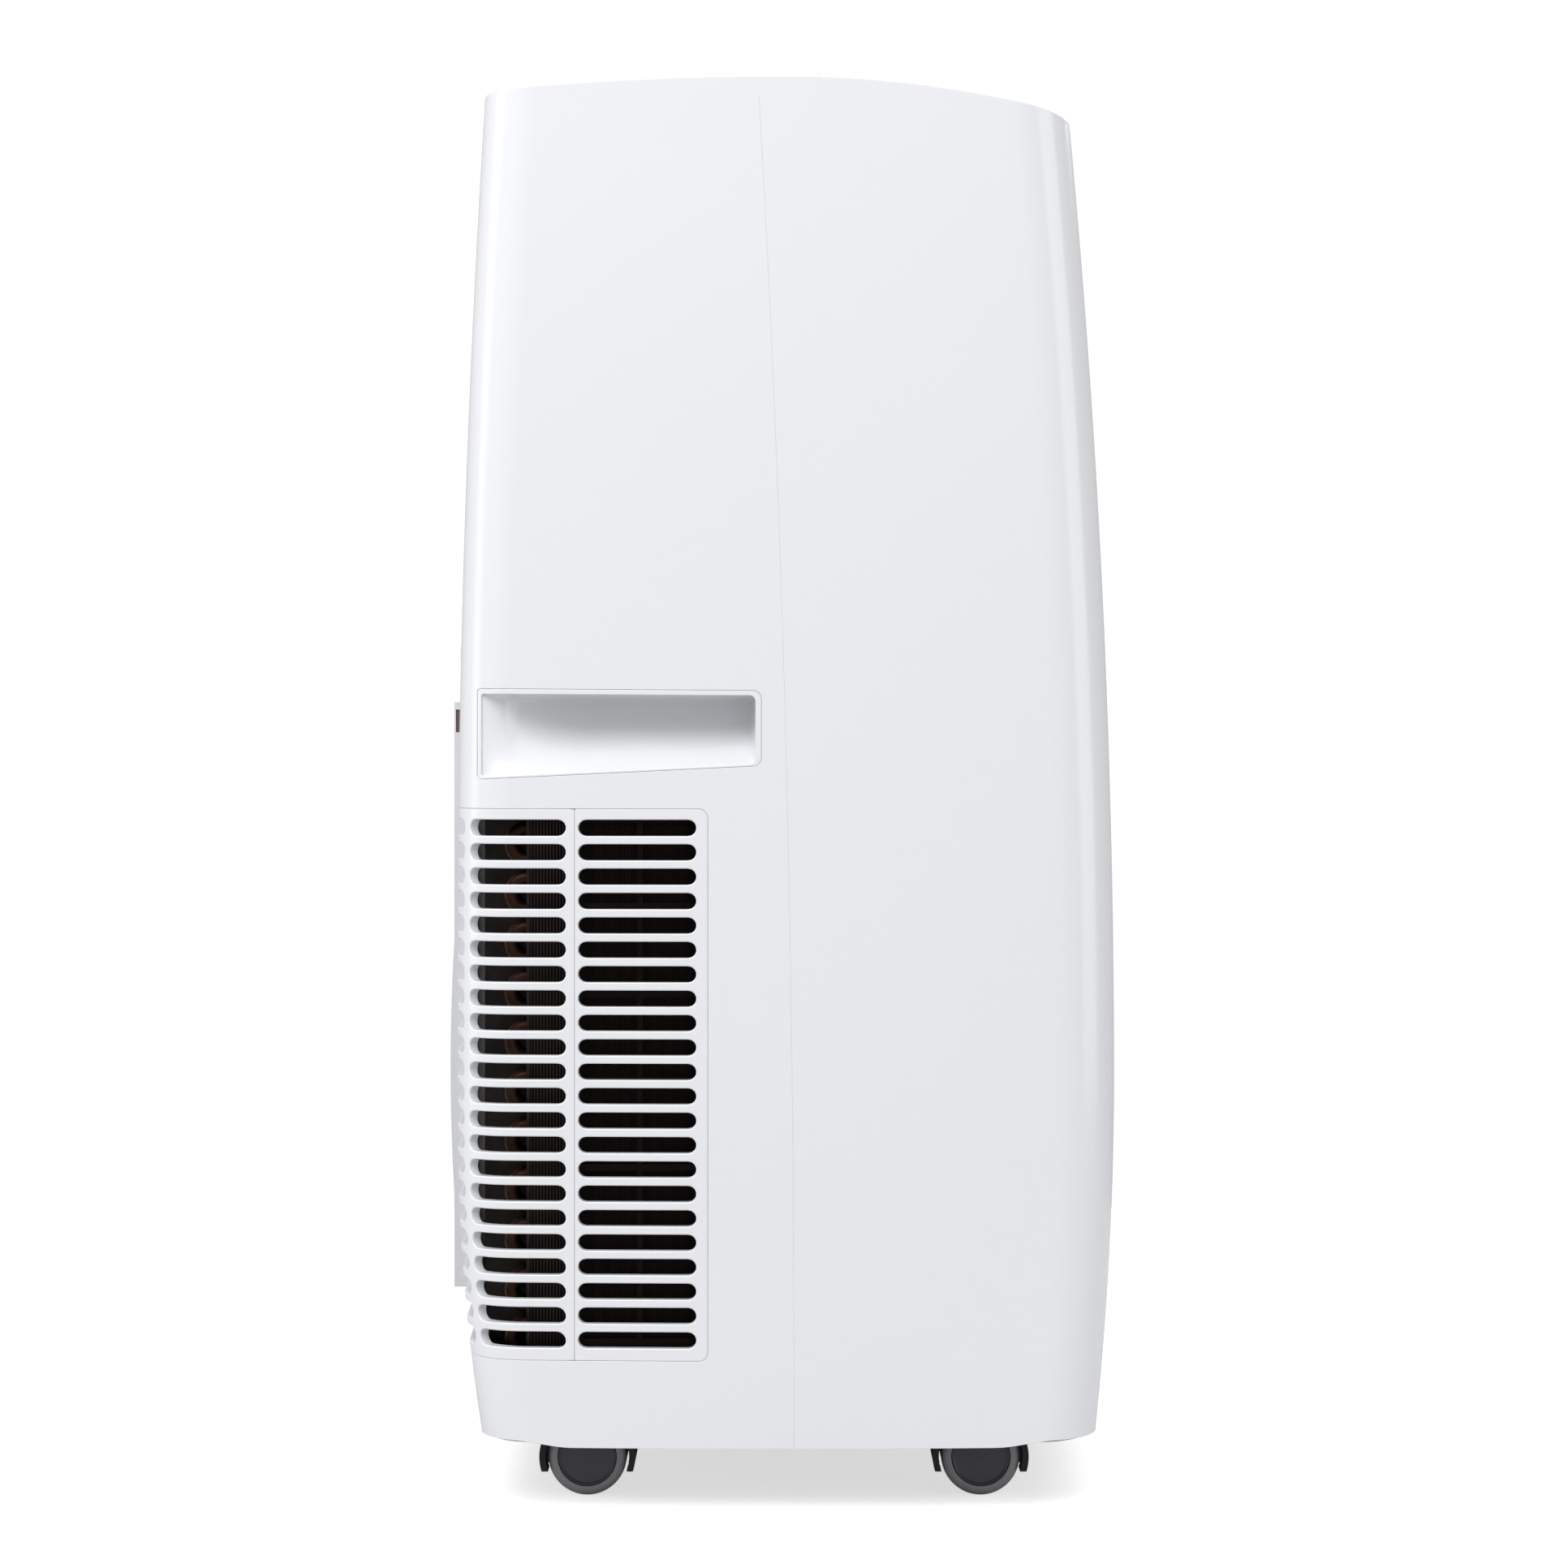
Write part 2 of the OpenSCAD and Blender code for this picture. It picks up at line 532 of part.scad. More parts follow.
module exhaust_wheel() color("dimgray") translate([42, port_y, port_z]) rotate([0, -90, 0])
    cage_wheel(78, 84, 32, shaft_r + 0.05);
module blower_motor() color("gray") {
    cyl_y(-62, -8, 42, 0, blower_z);
    cyl_y(-9, 36, shaft_r, 0, blower_z);
}
module exhaust_motor() color("gray") {
    cyl_x(64, 112, 38, port_y, port_z);
    cyl_x(24, 65, shaft_r, port_y, port_z);
}
module blower_scroll() color("whitesmoke") difference() {
    union() {
        cyl_y(-2, 84, 102, 0, blower_z);
        box([-102, 102], [-2, 84], [blower_z, 669]);
        box([-148, 148], [-89.5, 84], [603, 669]);
    }
    difference() {
        union() {
            cyl_y(0.5, 81.5, 99.5, 0, blower_z);
            box([-99.5, 99.5], [0.5, 81.5], [blower_z, 666]);
            box([-145.5, 145.5], [0.5, 81.5], [605.5, 666]);
        }
    }
    box([-145.5, 145.5], [-100, 1], [605.5, 666]);
    cyl_y(80, 90, 68, 0, blower_z);
    cyl_y(-5, 5, 12, 0, blower_z);
}
module exhaust_scroll() color("whitesmoke") difference() {
    union() {
        cyl_x(-56, 56, 98, port_y, port_z);
        box([-56, 56], [port_y, 157], [port_z - 77, port_z + 77]);
    }
    cyl_x(-53.5, 53.5, 95.5, port_y, port_z);
    box([-53.5, 53.5], [port_y, 160], [port_z - 74.5, port_z + 74.5]);
    cyl_x(-60, 60, 58, port_y, port_z);
}
foot_angles = [30, 150, 270];
module compressor() color("#222222") {
    cyl_z(86, 268, 56, -112, -85);
    translate([-112, -85, 268]) cylinder(h = 18, r1 = 56, r2 = 34);
    for (a = foot_angles) translate([-112, -85, 82]) rotate([0, 0, a]) difference() {
        translate([20, -14, 0]) cube([54, 28, 4.2]);
        translate([63, 0, -1]) cylinder(h = 8, r = 4);
    }
    cyl_z(96, 236, 21, -30, -110);
    cyl_x(-70, -40, 5, -104, 180);
}
module compressor_feet() color("black") for (a = foot_angles) translate([-112, -85, pan_z[1]]) rotate([0, 0, a])
    translate([63, 0, 0]) difference() {
        union() {
            cylinder(h = 22, r = 9);
            cylinder(h = 27, r = 3.9);
        }
        translate([0, 0, 4]) cylinder(h = 30, r = 2);
    }
// Straight pipes between brazed elbow blocks, which the pipes enter without meeting each other.
module pipe_run(points, r) {
    last = len(points) - 1;
    for (i = [0 : last - 1]) {
        along = unit(points[i + 1] - points[i]);
        from = points[i] + along * (i > 0 ? 1.1 * r : 0);
        length = norm(points[i + 1] - from) - (i + 1 < last ? 1.1 * r : 0);
        translate(from) rotate([0, acos(along[2]), atan2(along[1], along[0])]) cylinder(h = length, r = r);
    }
    for (i = [1 : last - 1]) translate(points[i]) sphere(r = 1.6 * r);
}
module refrigerant_pipes() color("sienna") {
    pipe_run([[-90, -85, 287], [-90, -85, 312], [-90, -20, 312], [-90, -20, 384], [-90, 90, 384],
        [-90, 90, 400], [-90, 99.5, 400]], 4);
    pipe_run([[-70, 20, 330], [-70, -20, 330], [-70, -20, 382], [-70, 90, 382], [-70, 90, 412],
        [-70, 99.5, 412]], 3);
    pipe_run([[-134, -85, 287], [-134, -85, 328], [-164, -60, 328], [-164, 57, 328], [-164, 57, 108],
        [-171.5, 57, 108]], 4);
}
module control_box() color("silver") box([70, 190], [-138, -92], [100, 300]);

// --- casters -----------------------------------------------------------------------------------------
stem_r = 5.5;
stem_top = 74;
stems = [for (x = [-caster_x, caster_x]) for (y = [-caster_y + trail, caster_y - trail]) [x, y]];
hood_r = 24.4;
module caster_fork(x, y) color("dimgray") translate([x, y, wheel_r]) {
    difference() {
        union() {
            cyl_x(-18, 18, hood_r, 0, 0);
            box([-9, 9], y > 0 ? [-trail - 8, 4] : [-4, trail + 8], [16, 31.5]);
        }
        cyl_x(-30, -4, wheel_r + 1.3, 0, 0);
        cyl_x(4, 30, wheel_r + 1.3, 0, 0);
        box([-30, -4], [-30, 30], [-30, -7.5]);
        box([4, 30], [-30, 30], [-30, -7.5]);
        difference() {
            box([-5, 5], [-30, 30], [-30, 4]);
            cyl_x(-6, 6, 12, 0, 0);
        }
        cyl_x(-30, 30, 3.05, 0, 0);
    }
    cyl_z(30, stem_top - wheel_r, stem_r, 0, y > 0 ? -trail : trail);
}
module caster_wheels(x, y) color("gray") translate([x, y, wheel_r]) {
    for (s = [0, 180]) rotate([0, 0, s]) difference() {
        rotate([0, 90, 0]) rotate_extrude() polygon([[2.9, 4.6], [18.6, 4.6], [wheel_r, 6.2], [wheel_r, 15.4],
            [18.4, 17.6], [15, 18], [14.4, 17], [2.9, 16.4]]);
    }
    cyl_x(-17, 17, 3, 0, 0);
}

base_pan();
rear_shell();
front_shell();
top_cover();
handle_cup();  // handle_cup_left
mirror([1, 0, 0]) handle_cup();  // handle_cup_right
rear_grille();
side_panel();  // side_panel_left
mirror([1, 0, 0]) side_panel();  // side_panel_right
side_filter();  // side_filter_left
mirror([1, 0, 0]) side_filter();  // side_filter_right
intake_door();
intake_filter();
exhaust_frame();
exhaust_cover();
frame_insert();
drain_cap_upper();
drain_cap_lower();
cord_gland();
case_screws();
outlet_frame();
louvre(louvre_z[0]);  // louvre_lower
louvre(louvre_z[1]);  // louvre_middle
louvre(louvre_z[2]);  // louvre_upper
vane(vane_x[0]);  // vane_1
vane(vane_x[1]);  // vane_2
vane(vane_x[2]);  // vane_3
vane(vane_x[3]);  // vane_4
control_panel();
display_window();
control_board();
button(button_x[0]);  // button_power
button(button_x[1]);  // button_mode
button(button_x[2]);  // button_fan
button(button_x[3]);  // button_timer
button(button_x[4]);  // button_down
button(button_x[5]);  // button_up
divider_tray();
evaporator_fins();
condenser_fins();
coil_tubes();
coil_end_plates();
blower_wheel();
blower_scroll();
blower_motor();
exhaust_wheel();
exhaust_scroll();
exhaust_motor();
compressor();
compressor_feet();
refrigerant_pipes();
control_box();
caster_fork(-caster_x, caster_y);  // caster_rear_right_fork
caster_wheels(-caster_x, caster_y);  // caster_rear_right_wheels
caster_fork(caster_x, caster_y);  // caster_rear_left_fork
caster_wheels(caster_x, caster_y);  // caster_rear_left_wheels
caster_fork(-caster_x, -caster_y);  // caster_front_right_fork
caster_wheels(-caster_x, -caster_y);  // caster_front_right_wheels
caster_fork(caster_x, -caster_y);  // caster_front_left_fork
caster_wheels(caster_x, -caster_y);  // caster_front_left_wheels
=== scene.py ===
"""Looks of a portable air conditioner on casters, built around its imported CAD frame.

Lengths are millimetres in the frame's own axes, and MM turns them into metres. The floor is z = 0, the front
faces -Y, the rear faces +Y, and the object's right side, which the camera sees, faces -X.
"""
import json
import math

import bpy
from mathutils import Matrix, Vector, geometry
from mathutils.kdtree import KDTree


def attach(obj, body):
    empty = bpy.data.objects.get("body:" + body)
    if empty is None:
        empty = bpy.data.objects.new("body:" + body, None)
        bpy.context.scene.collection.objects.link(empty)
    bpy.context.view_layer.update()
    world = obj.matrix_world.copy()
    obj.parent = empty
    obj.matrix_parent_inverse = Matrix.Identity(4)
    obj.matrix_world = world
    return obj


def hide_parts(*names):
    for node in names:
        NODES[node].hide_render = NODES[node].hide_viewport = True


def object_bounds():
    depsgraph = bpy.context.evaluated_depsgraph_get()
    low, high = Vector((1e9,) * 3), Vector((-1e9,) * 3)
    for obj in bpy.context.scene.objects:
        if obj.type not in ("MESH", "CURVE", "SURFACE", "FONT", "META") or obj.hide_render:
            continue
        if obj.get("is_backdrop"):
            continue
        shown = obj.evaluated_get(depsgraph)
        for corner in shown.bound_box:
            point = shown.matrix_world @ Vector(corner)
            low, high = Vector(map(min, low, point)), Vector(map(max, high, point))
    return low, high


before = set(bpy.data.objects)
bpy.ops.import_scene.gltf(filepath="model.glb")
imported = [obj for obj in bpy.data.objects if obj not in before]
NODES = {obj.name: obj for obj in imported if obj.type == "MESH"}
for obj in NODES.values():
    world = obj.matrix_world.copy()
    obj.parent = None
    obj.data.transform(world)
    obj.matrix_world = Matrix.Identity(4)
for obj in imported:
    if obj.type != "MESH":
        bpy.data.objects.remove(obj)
cad_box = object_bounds()

MM = 0.001

# --- the body's form, as the CAD has it ------------------------------------------------------------
BODY_W = 430.0
CREST_Z = 716.3
SKIRT_Z = 31.4
SHELL = 2.8            # the shells' wall thickness
FRONT_R, REAR_R = 34.0, 30.0
FRONT_MAX, REAR_MAX = 167.2, 165.5
FRONT_WAIST = 210.0
REAR_FLAT = (190.0, 270.0)
FRONT_BULGE, REAR_BULGE = 10.0, 3.0
SIDE_SLOPE = math.radians(3.4)
FRONT_TURN = math.pi / 2 - math.atan(2 * FRONT_BULGE / 180)
REAR_TURN = math.pi / 2 - math.atan(2 * REAR_BULGE / 184)
EDGE_R = 1.6           # rounding between the walls and the top
LID_INSET = 2.0
LID_RISE = 1.7
LID_FRONT_Y = -19.4
LID_STEP = LID_INSET + 1.5                # how far the rim under the lid reaches in from the rounding
FRONT_CURVE = (3336, 10478)               # how the profile falls off: below and above the waist
REAR_CURVE = (1950, 13720)                # below and above the flat
TOP_CURVE = (561, 1839)                   # the top's radius in front of y = 0 and behind it


def front_y(z):
    return FRONT_MAX - (z - FRONT_WAIST) ** 2 / FRONT_CURVE[z > FRONT_WAIST]


def rear_y(z):
    low, high = REAR_FLAT
    if z > high:
        return REAR_MAX - (z - high) ** 2 / REAR_CURVE[1]
    return REAR_MAX - ((low - z) ** 2 / REAR_CURVE[0] if z < low else 0)


def top_z(y):
    return CREST_Z - y * y / (2 * TOP_CURVE[y >= 0])


def top_normal(y):
    return Vector((0, y / TOP_CURVE[y >= 0], 1)).normalized()


def seam_y(z):
    return -5 + (16 * ((z - 40) / 640) ** 2.2 if z > 40 else 0)


class Wall:
    """Half of the outer wall, unrolled. u runs round the plan and v up the wall, then over the top edge.

    u is 0 where the first side ends and its corner begins, and it falls along that side. The other side mirrors it.
    """

    def __init__(self, rear):
        self.rear = rear
        self.radius = REAR_R if rear else FRONT_R
        self.turn = REAR_TURN if rear else FRONT_TURN
        self.bulge = REAR_BULGE if rear else FRONT_BULGE
        self.face_half = 184.0 if rear else 180.0
        self.corner = self.radius * (self.turn - SIDE_SLOPE)
        self.middle = self.corner + self.face_half
        self.first_side = 1 if rear else -1     # the sign of x where u starts
        self.out = 1 if rear else -1            # the sign of y that this half faces

    def plan(self, z):
        """Numbers of the plan section at height z: side ends, crown, and this half's corner."""
        z = max(z, SKIRT_Z)
        front_c = -front_y(z) + FRONT_R * math.sin(FRONT_TURN)
        rear_c = rear_y(z) - REAR_R * math.sin(REAR_TURN)
        low = front_c - FRONT_R * math.sin(SIDE_SLOPE)
        high = rear_c + REAR_R * math.sin(SIDE_SLOPE)
        half = (high - low) / 2
        crown = half * math.tan(SIDE_SLOPE) / 2
        cx = BODY_W / 2 - self.radius * math.cos(SIDE_SLOPE) - crown
        cy = rear_c if self.rear else front_c
        return (high if self.rear else low), (low + high) / 2, half, crown, cx, cy

    def flat(self, u, z):
        """The wall's point and its horizontal outward direction, at u and height z."""
        mirror = u > self.middle
        if mirror:
            u = 2 * self.middle - u
        end, mid, half, crown, cx, cy = self.plan(z)
        if u < 0:
            y = end + self.out * u
            x = BODY_W / 2 - crown * ((y - mid) / half) ** 2
            nx, ny = 1.0, 2 * crown * (y - mid) / half ** 2
        elif u < self.corner:
            a = SIDE_SLOPE + u / self.radius
            x, y = cx + self.radius * math.cos(a), cy + self.out * self.radius * math.sin(a)
            nx, ny = math.cos(a), self.out * math.sin(a)
        else:
            x0 = cx + self.radius * math.cos(self.turn)
            y0 = cy + self.out * self.radius * math.sin(self.turn)
            x = x0 * (1 - (u - self.corner) / self.face_half)
            y = y0 + self.out * self.bulge * (1 - (x / x0) ** 2)
            nx, ny = 2 * self.bulge * x / x0 ** 2, self.out * 1.0
        sx = self.first_side * (-1 if mirror else 1)
        return Vector((sx * x, y, z)), Vector((sx * nx, ny, 0)).normalized()

    def top(self, u):
        """The height at which the wall at u begins to round over."""
        z = CREST_Z - 4
        for _ in range(2):
            p, n = self.flat(u, z)
            z = top_z(p.y - EDGE_R * n.y) - EDGE_R
        return z

    def at(self, u, v, depth=0.0):
        top = self.top(u) if v > 660 else 1e9
        p, n = self.flat(u, min(v, top))
        if v <= top:
            return p - n * depth
        a = min((v - top) / EDGE_R, math.pi / 2)
        inset = max(v - top - EDGE_R * math.pi / 2, 0)
        r = EDGE_R - depth
        p = p - n * (EDGE_R - r * math.cos(a) + inset)
        p.z = top + r * math.sin(a) if inset == 0 else top_z(p.y) - depth
        return p

    def normal(self, u, v):
        h = 0.05
        du = self.at(u + h, v) - self.at(u - h, v)
        dv = self.at(u, v + h) - self.at(u, v - h)
        return du.cross(dv).normalized()

    def straight(self, p):
        """p with the wall's curved top edge drawn level, and its rounding drawn out so that its rows lie apart."""
        if p.y < 640:
            return p
        top = self.top(p.x)
        share = min(1, (p.y - 640) / 45)
        return Vector((p.x, p.y + share * (CREST_Z - top) + 20 * max(0, p.y - top + 3)))

    def u_of_y(self, y, z):
        """u on the first side, or in its corner, at depth y."""
        end, _, _, _, _, cy = self.plan(z)
        if (y - end) * self.out <= 0:
            return (y - end) * self.out
        return self.radius * (math.asin(min(1, (y - cy) * self.out / self.radius)) - SIDE_SLOPE)

    def u_of_x(self, x, z):
        """u on the face that this half looks out of, at x."""
        _, _, _, _, cx, _ = self.plan(z)
        x0 = cx + self.radius * math.cos(self.turn)
        return self.corner + self.face_half * (1 - self.first_side * x / x0)


REAR, FRONT = Wall(True), Wall(False)


# --- mesh building ---------------------------------------------------------------------------------
def unit(v):
    return v.normalized()


def rounded(points, radius, steps=6):
    """A closed outline with each corner replaced by an arc. radius is one number, or one for each corner."""
    out, n = [], len(points)
    for i in range(n):
        a, b, c = (Vector(points[(i + k) % n]) for k in (-1, 0, 1))
        r = radius[i] if isinstance(radius, (list, tuple)) else radius
        u, w = unit(a - b), unit(c - b)
        half = math.acos(max(-1, min(1, u.dot(w)))) / 2
        if r <= 0 or half > math.pi / 2 - 0.01:
            out.append(b)
            continue
        centre = b + unit(u + w) * (r / math.sin(half))
        p, q = b + u * (r / math.tan(half)) - centre, b + w * (r / math.tan(half)) - centre
        start = math.atan2(p.y, p.x)
        turn = (math.atan2(q.y, q.x) - start + math.pi) % (2 * math.pi) - math.pi
        out += [centre + r * Vector((math.cos(start + turn * k / steps), math.sin(start + turn * k / steps)))
                for k in range(steps + 1)]
    return out


def spaced(points, step, closed=True):
    """The outline with points added, so that no stretch is longer than step."""
    out, n = [], len(points)
    for i in range(n if closed else n - 1):
        a, b = Vector(points[i]), Vector(points[(i + 1) % n])
        k = max(1, math.ceil((b - a).length / step))
        out += [a.lerp(b, j / k) for j in range(k)]
    return out if closed else out + [Vector(points[-1])]


def rectangle(x0, x1, y0, y1):
    return [(x0, y0), (x1, y0), (x1, y1), (x0, y1)]


def grown(points, d):
    """A convex anticlockwise outline moved out by d on every side."""
    out, n = [], len(points)
    for i in range(n):
        a, b, c = (Vector(points[(i + k) % n]) for k in (-1, 0, 1))
        u, w = unit(b - a), unit(c - b)
        nu, nw = Vector((u.y, -u.x)), Vector((w.y, -w.x))
        out.append(b + d * (nu + nw) / (1 + nu.dot(nw)))
    return out


def stadium(x0, x1, y, r, steps=7):
    arc = [math.pi * k / steps for k in range(steps + 1)]
    return ([Vector((x1 - r + r * math.sin(a), y - r * math.cos(a))) for a in arc]
            + [Vector((x0 + r - r * math.sin(a), y + r * math.cos(a))) for a in arc])


def circle(x, y, r, steps=32):
    return [Vector((x + r * math.cos(2 * math.pi * k / steps), y + r * math.sin(2 * math.pi * k / steps)))
            for k in range(steps)]


def area(loop):
    return sum(a.x * b.y - a.y * b.x for a, b in zip(loop, loop[1:] + loop[:1])) / 2


def inside(p, loop):
    odd = False
    for a, b in zip(loop, loop[1:] + loop[:1]):
        if (a.y > p.y) != (b.y > p.y) and p.x < a.x + (p.y - a.y) * (b.x - a.x) / (b.y - a.y):
            odd = not odd
    return odd


def grid(x0, x1, dx, y0, y1, dy):
    nx, ny = max(1, round((x1 - x0) / dx)), max(1, round((y1 - y0) / dy))
    return [Vector((x0 + (x1 - x0) * i / nx, y0 + (y1 - y0) * j / ny))
            for i in range(1, nx) for j in range(1, ny)]


class Sheet:
    """A flat layout of loops: the first is the outline and the others are holes. inner adds free points.

    straight moves a point to where it is triangulated, so that rows which follow a curved edge stay together.
    """

    def __init__(self, outline, holes=(), inner=(), keep_off=1.2, straight=lambda p: p):
        loops = [list(outline)] + [list(h) for h in holes]
        self.loops, flat = [], []
        for k, loop in enumerate(loops):
            if (area(loop) > 0) != (k == 0):
                loop.reverse()
            self.loops.append(list(range(len(flat), len(flat) + len(loop))))
            flat += loop
        edges = [(ids[i], ids[(i + 1) % len(ids)]) for ids in self.loops for i in range(len(ids))]
        tree = KDTree(len(flat))
        for i, p in enumerate(flat):
            tree.insert((p.x, p.y, 0), i)
        tree.balance()
        free = [p for p in inner if tree.find((p.x, p.y, 0))[2] > keep_off]
        self.points = flat + free
        laid = [straight(p) for p in self.points]
        out = geometry.delaunay_2d_cdt(laid, edges, [], 2, 1e-6)
        source = [ids[0] for ids in out[3]]
        rings = [[laid[i] for i in ids] for ids in self.loops]
        boxes = [(min(p.x for p in r), max(p.x for p in r), min(p.y for p in r), max(p.y for p in r)) for r in rings]

        def within(p, k):
            x0, x1, y0, y1 = boxes[k]
            return x0 < p.x < x1 and y0 < p.y < y1 and inside(p, rings[k])

        self.triangles = []
        for tri in out[2]:
            ids = tuple(source[i] for i in tri)
            a, b, c = (laid[i] for i in ids)
            middle = (a + b + c) / 3
            if within(middle, 0) and not any(within(middle, k) for k in range(1, len(rings))):
                self.triangles.append(ids if (b - a).cross(c - a) > 0 else ids[::-1])


class Shape:
    """A mesh being built. Each face carries its corners' normals, so curved skins shade smoothly."""

    def __init__(self):
        self.points, self.faces, self.shading, self.inner = [], [], [], set()

    def add(self, p):
        self.points.append(Vector(p))
        return len(self.points) - 1

    def face(self, ids, normals=None):
        self.faces.append(tuple(ids))
        self.shading.append(normals)

    def roll(self, ring, normals, outward, profile, closed=True):
        """Rolls an edge over. profile lists (outward, inward, turn) for each further ring."""
        n = len(ring)
        base = [self.points[i].copy() for i in ring]
        edges = range(n if closed else n - 1)
        prev, prev_n = list(ring), list(normals)
        for w, d, turn in profile:
            now = [self.add(base[i] + outward[i] * w - normals[i] * d) for i in range(n)]
            c, s = math.cos(turn), math.sin(turn)
            now_n = [unit(normals[i] * c + outward[i] * s) for i in range(n)]
            for i in edges:
                j = (i + 1) % n
                self.face((prev[i], now[i], now[j], prev[j]), (prev_n[i], now_n[i], now_n[j], prev_n[j]))
            prev, prev_n = now, now_n
        return prev

    def slab(self, sheet, at, normal, fillet, thickness, back=True, steps=4, joined=()):
        """Lays a sheet on a surface, rounds its edges and gives it a thickness. fillet is one radius, or the
        outline's and the holes'. joined are outline places, by number, where the surface goes on in another sheet
        and no edge is made."""
        fillets = fillet if isinstance(fillet, tuple) else (fillet, fillet)
        points = [at(p.x, p.y) for p in sheet.points]
        normals = [normal(p.x, p.y) for p in sheet.points]
        ids = [self.add(p) for p in points]
        for tri in sheet.triangles:
            self.face([ids[i] for i in tri], [normals[i] for i in tri])
        under = {}
        for k, loop in enumerate(sheet.loops):
            n = len(loop)
            out = [unit((points[loop[(i + 1) % n]] - points[loop[i - 1]]).cross(normals[loop[i]]))
                   for i in range(n)]
            order = list(range(n))
            if k == 0 and joined:
                first = next(i for i in range(n) if loop[i] not in joined and loop[i - 1] in joined)
                order = [(first + i) % n for i in range(n)]
                order = [i for i in order if loop[i] not in joined]
            run = [loop[i] for i in order]
            last = self.roll([ids[i] for i in run], [normals[i] for i in run], [out[i] for i in order],
                             fillet_profile(fillets[k > 0], thickness, steps), closed=len(run) == n)
            under.update(zip(run, last))
        if back:
            for i, p in enumerate(points):
                if i not in under:
                    under[i] = self.add(p - normals[i] * thickness)
            for tri in sheet.triangles:
                self.inner.add(len(self.faces))
                self.face([under[i] for i in reversed(tri)], [-normals[i] for i in reversed(tri)])
        return under

    def mirrored(self):
        """The same shape on the other side of the middle plane."""
        flip = lambda v: Vector((-v.x, v.y, v.z))
        other = Shape()
        other.points = [flip(p) for p in self.points]
        for ids, normals in zip(self.faces, self.shading):
            other.face(ids[::-1], normals and [flip(v) for v in reversed(normals)])
        other.inner = set(self.inner)
        return other

    def build(self, name, material, inside=None):
        used = sorted({i for ids in self.faces for i in ids})
        place = {i: k for k, i in enumerate(used)}
        mesh = bpy.data.meshes.new(name)
        mesh.from_pydata([self.points[i] * MM for i in used], [], [[place[i] for i in f] for f in self.faces])
        mesh.materials.append(material)
        # The back faces take the second material: the painted shade of the casing's inside.
        if inside:
            mesh.materials.append(inside)
            mesh.polygons.foreach_set("material_index", [int(i in self.inner) for i in range(len(self.faces))])
        mesh.polygons.foreach_set("use_smooth", [True] * len(mesh.polygons))
        normals = []
        for poly, corner_normals in zip(mesh.polygons, self.shading):
            normals += corner_normals or [poly.normal] * poly.loop_total
        mesh.normals_split_custom_set([tuple(v) for v in normals])
        piece = bpy.data.objects.new(name, mesh)
        bpy.context.scene.collection.objects.link(piece)
        return piece


def fillet_profile(fillet, thickness, steps=4):
    turns = [math.pi / 2 * (k + 1) / steps for k in range(steps)]
    rings = [(fillet * math.sin(a), fillet * (1 - math.cos(a)), a) for a in turns]
    return rings + [(fillet, thickness, math.pi / 2)]


# --- materials --------------------------------------------------------------------------------------
def material(name, colour, shade=None, roughness=(0.3, 0.4), metallic=0.0, patch=6.0, grain=300.0, bump=0.08,
             relief=0.0002, **sockets):
    """A moulded or worked surface: two close shades in soft patches, uneven gloss and a fine grain."""
    mat = bpy.data.materials.new(name)
    mat.use_nodes = True
    nodes, links = mat.node_tree.nodes, mat.node_tree.links
    shader = nodes["Principled BSDF"]
    shader.inputs["Metallic"].default_value = metallic
    for socket, value in sockets.items():
        shader.inputs[socket.replace("_", " ")].default_value = value
    coords = nodes.new("ShaderNodeTexCoord")

    def noise(scale, detail):
        tex = nodes.new("ShaderNodeTexNoise")
        tex.inputs["Scale"].default_value = scale
        tex.inputs["Detail"].default_value = detail
        links.new(coords.outputs["Object"], tex.inputs["Vector"])
        return tex.outputs["Fac"]

    patches = noise(patch, 3)
    ramp = nodes.new("ShaderNodeValToRGB")
    ramp.color_ramp.elements[0].position = 0.35
    ramp.color_ramp.elements[1].position = 0.65
    ramp.color_ramp.elements[0].color = (*(shade or [c * 0.96 for c in colour]), 1)
    ramp.color_ramp.elements[1].color = (*colour, 1)
    links.new(patches, ramp.inputs["Fac"])
    links.new(ramp.outputs["Color"], shader.inputs["Base Color"])
    gloss = nodes.new("ShaderNodeMapRange")
    gloss.inputs["To Min"].default_value, gloss.inputs["To Max"].default_value = roughness
    links.new(noise(patch * 5, 4), gloss.inputs["Value"])
    links.new(gloss.outputs["Result"], shader.inputs["Roughness"])
    if bump:
        node = nodes.new("ShaderNodeBump")
        node.inputs["Strength"].default_value = bump
        node.inputs["Distance"].default_value = relief
        links.new(noise(grain, 2), node.inputs["Height"])
        links.new(node.outputs["Normal"], shader.inputs["Normal"])
    return mat


def striped(mat, pitch):
    """Turns the surface into thin plates stacked along Y, pitch millimetres apart, with painted shade in the gaps
    between.
    """
    nodes, links = mat.node_tree.nodes, mat.node_tree.links
    coords = next(n for n in nodes if n.type == "TEX_COORD")
    shader = nodes["Principled BSDF"]
    wave = nodes.new("ShaderNodeTexWave")
    wave.bands_direction = "Y"
    wave.inputs["Scale"].default_value = math.pi / (10 * pitch * MM)
    links.new(coords.outputs["Object"], wave.inputs["Vector"])
    edge = nodes.new("ShaderNodeValToRGB")
    edge.color_ramp.elements[0].position, edge.color_ramp.elements[1].position = 0.55, 0.8
    links.new(wave.outputs["Fac"], edge.inputs["Fac"])
    mix = nodes.new("ShaderNodeMix")
    mix.data_type = "RGBA"
    # Near-black painted shade between the plates.
    mix.inputs["A"].default_value = (0.006, 0.004, 0.004, 1)
    links.new(edge.outputs["Color"], mix.inputs["Factor"])
    links.new(shader.inputs["Base Color"].links[0].from_socket, mix.inputs["B"])
    links.new(mix.outputs["Result"], shader.inputs["Base Color"])
    return mat


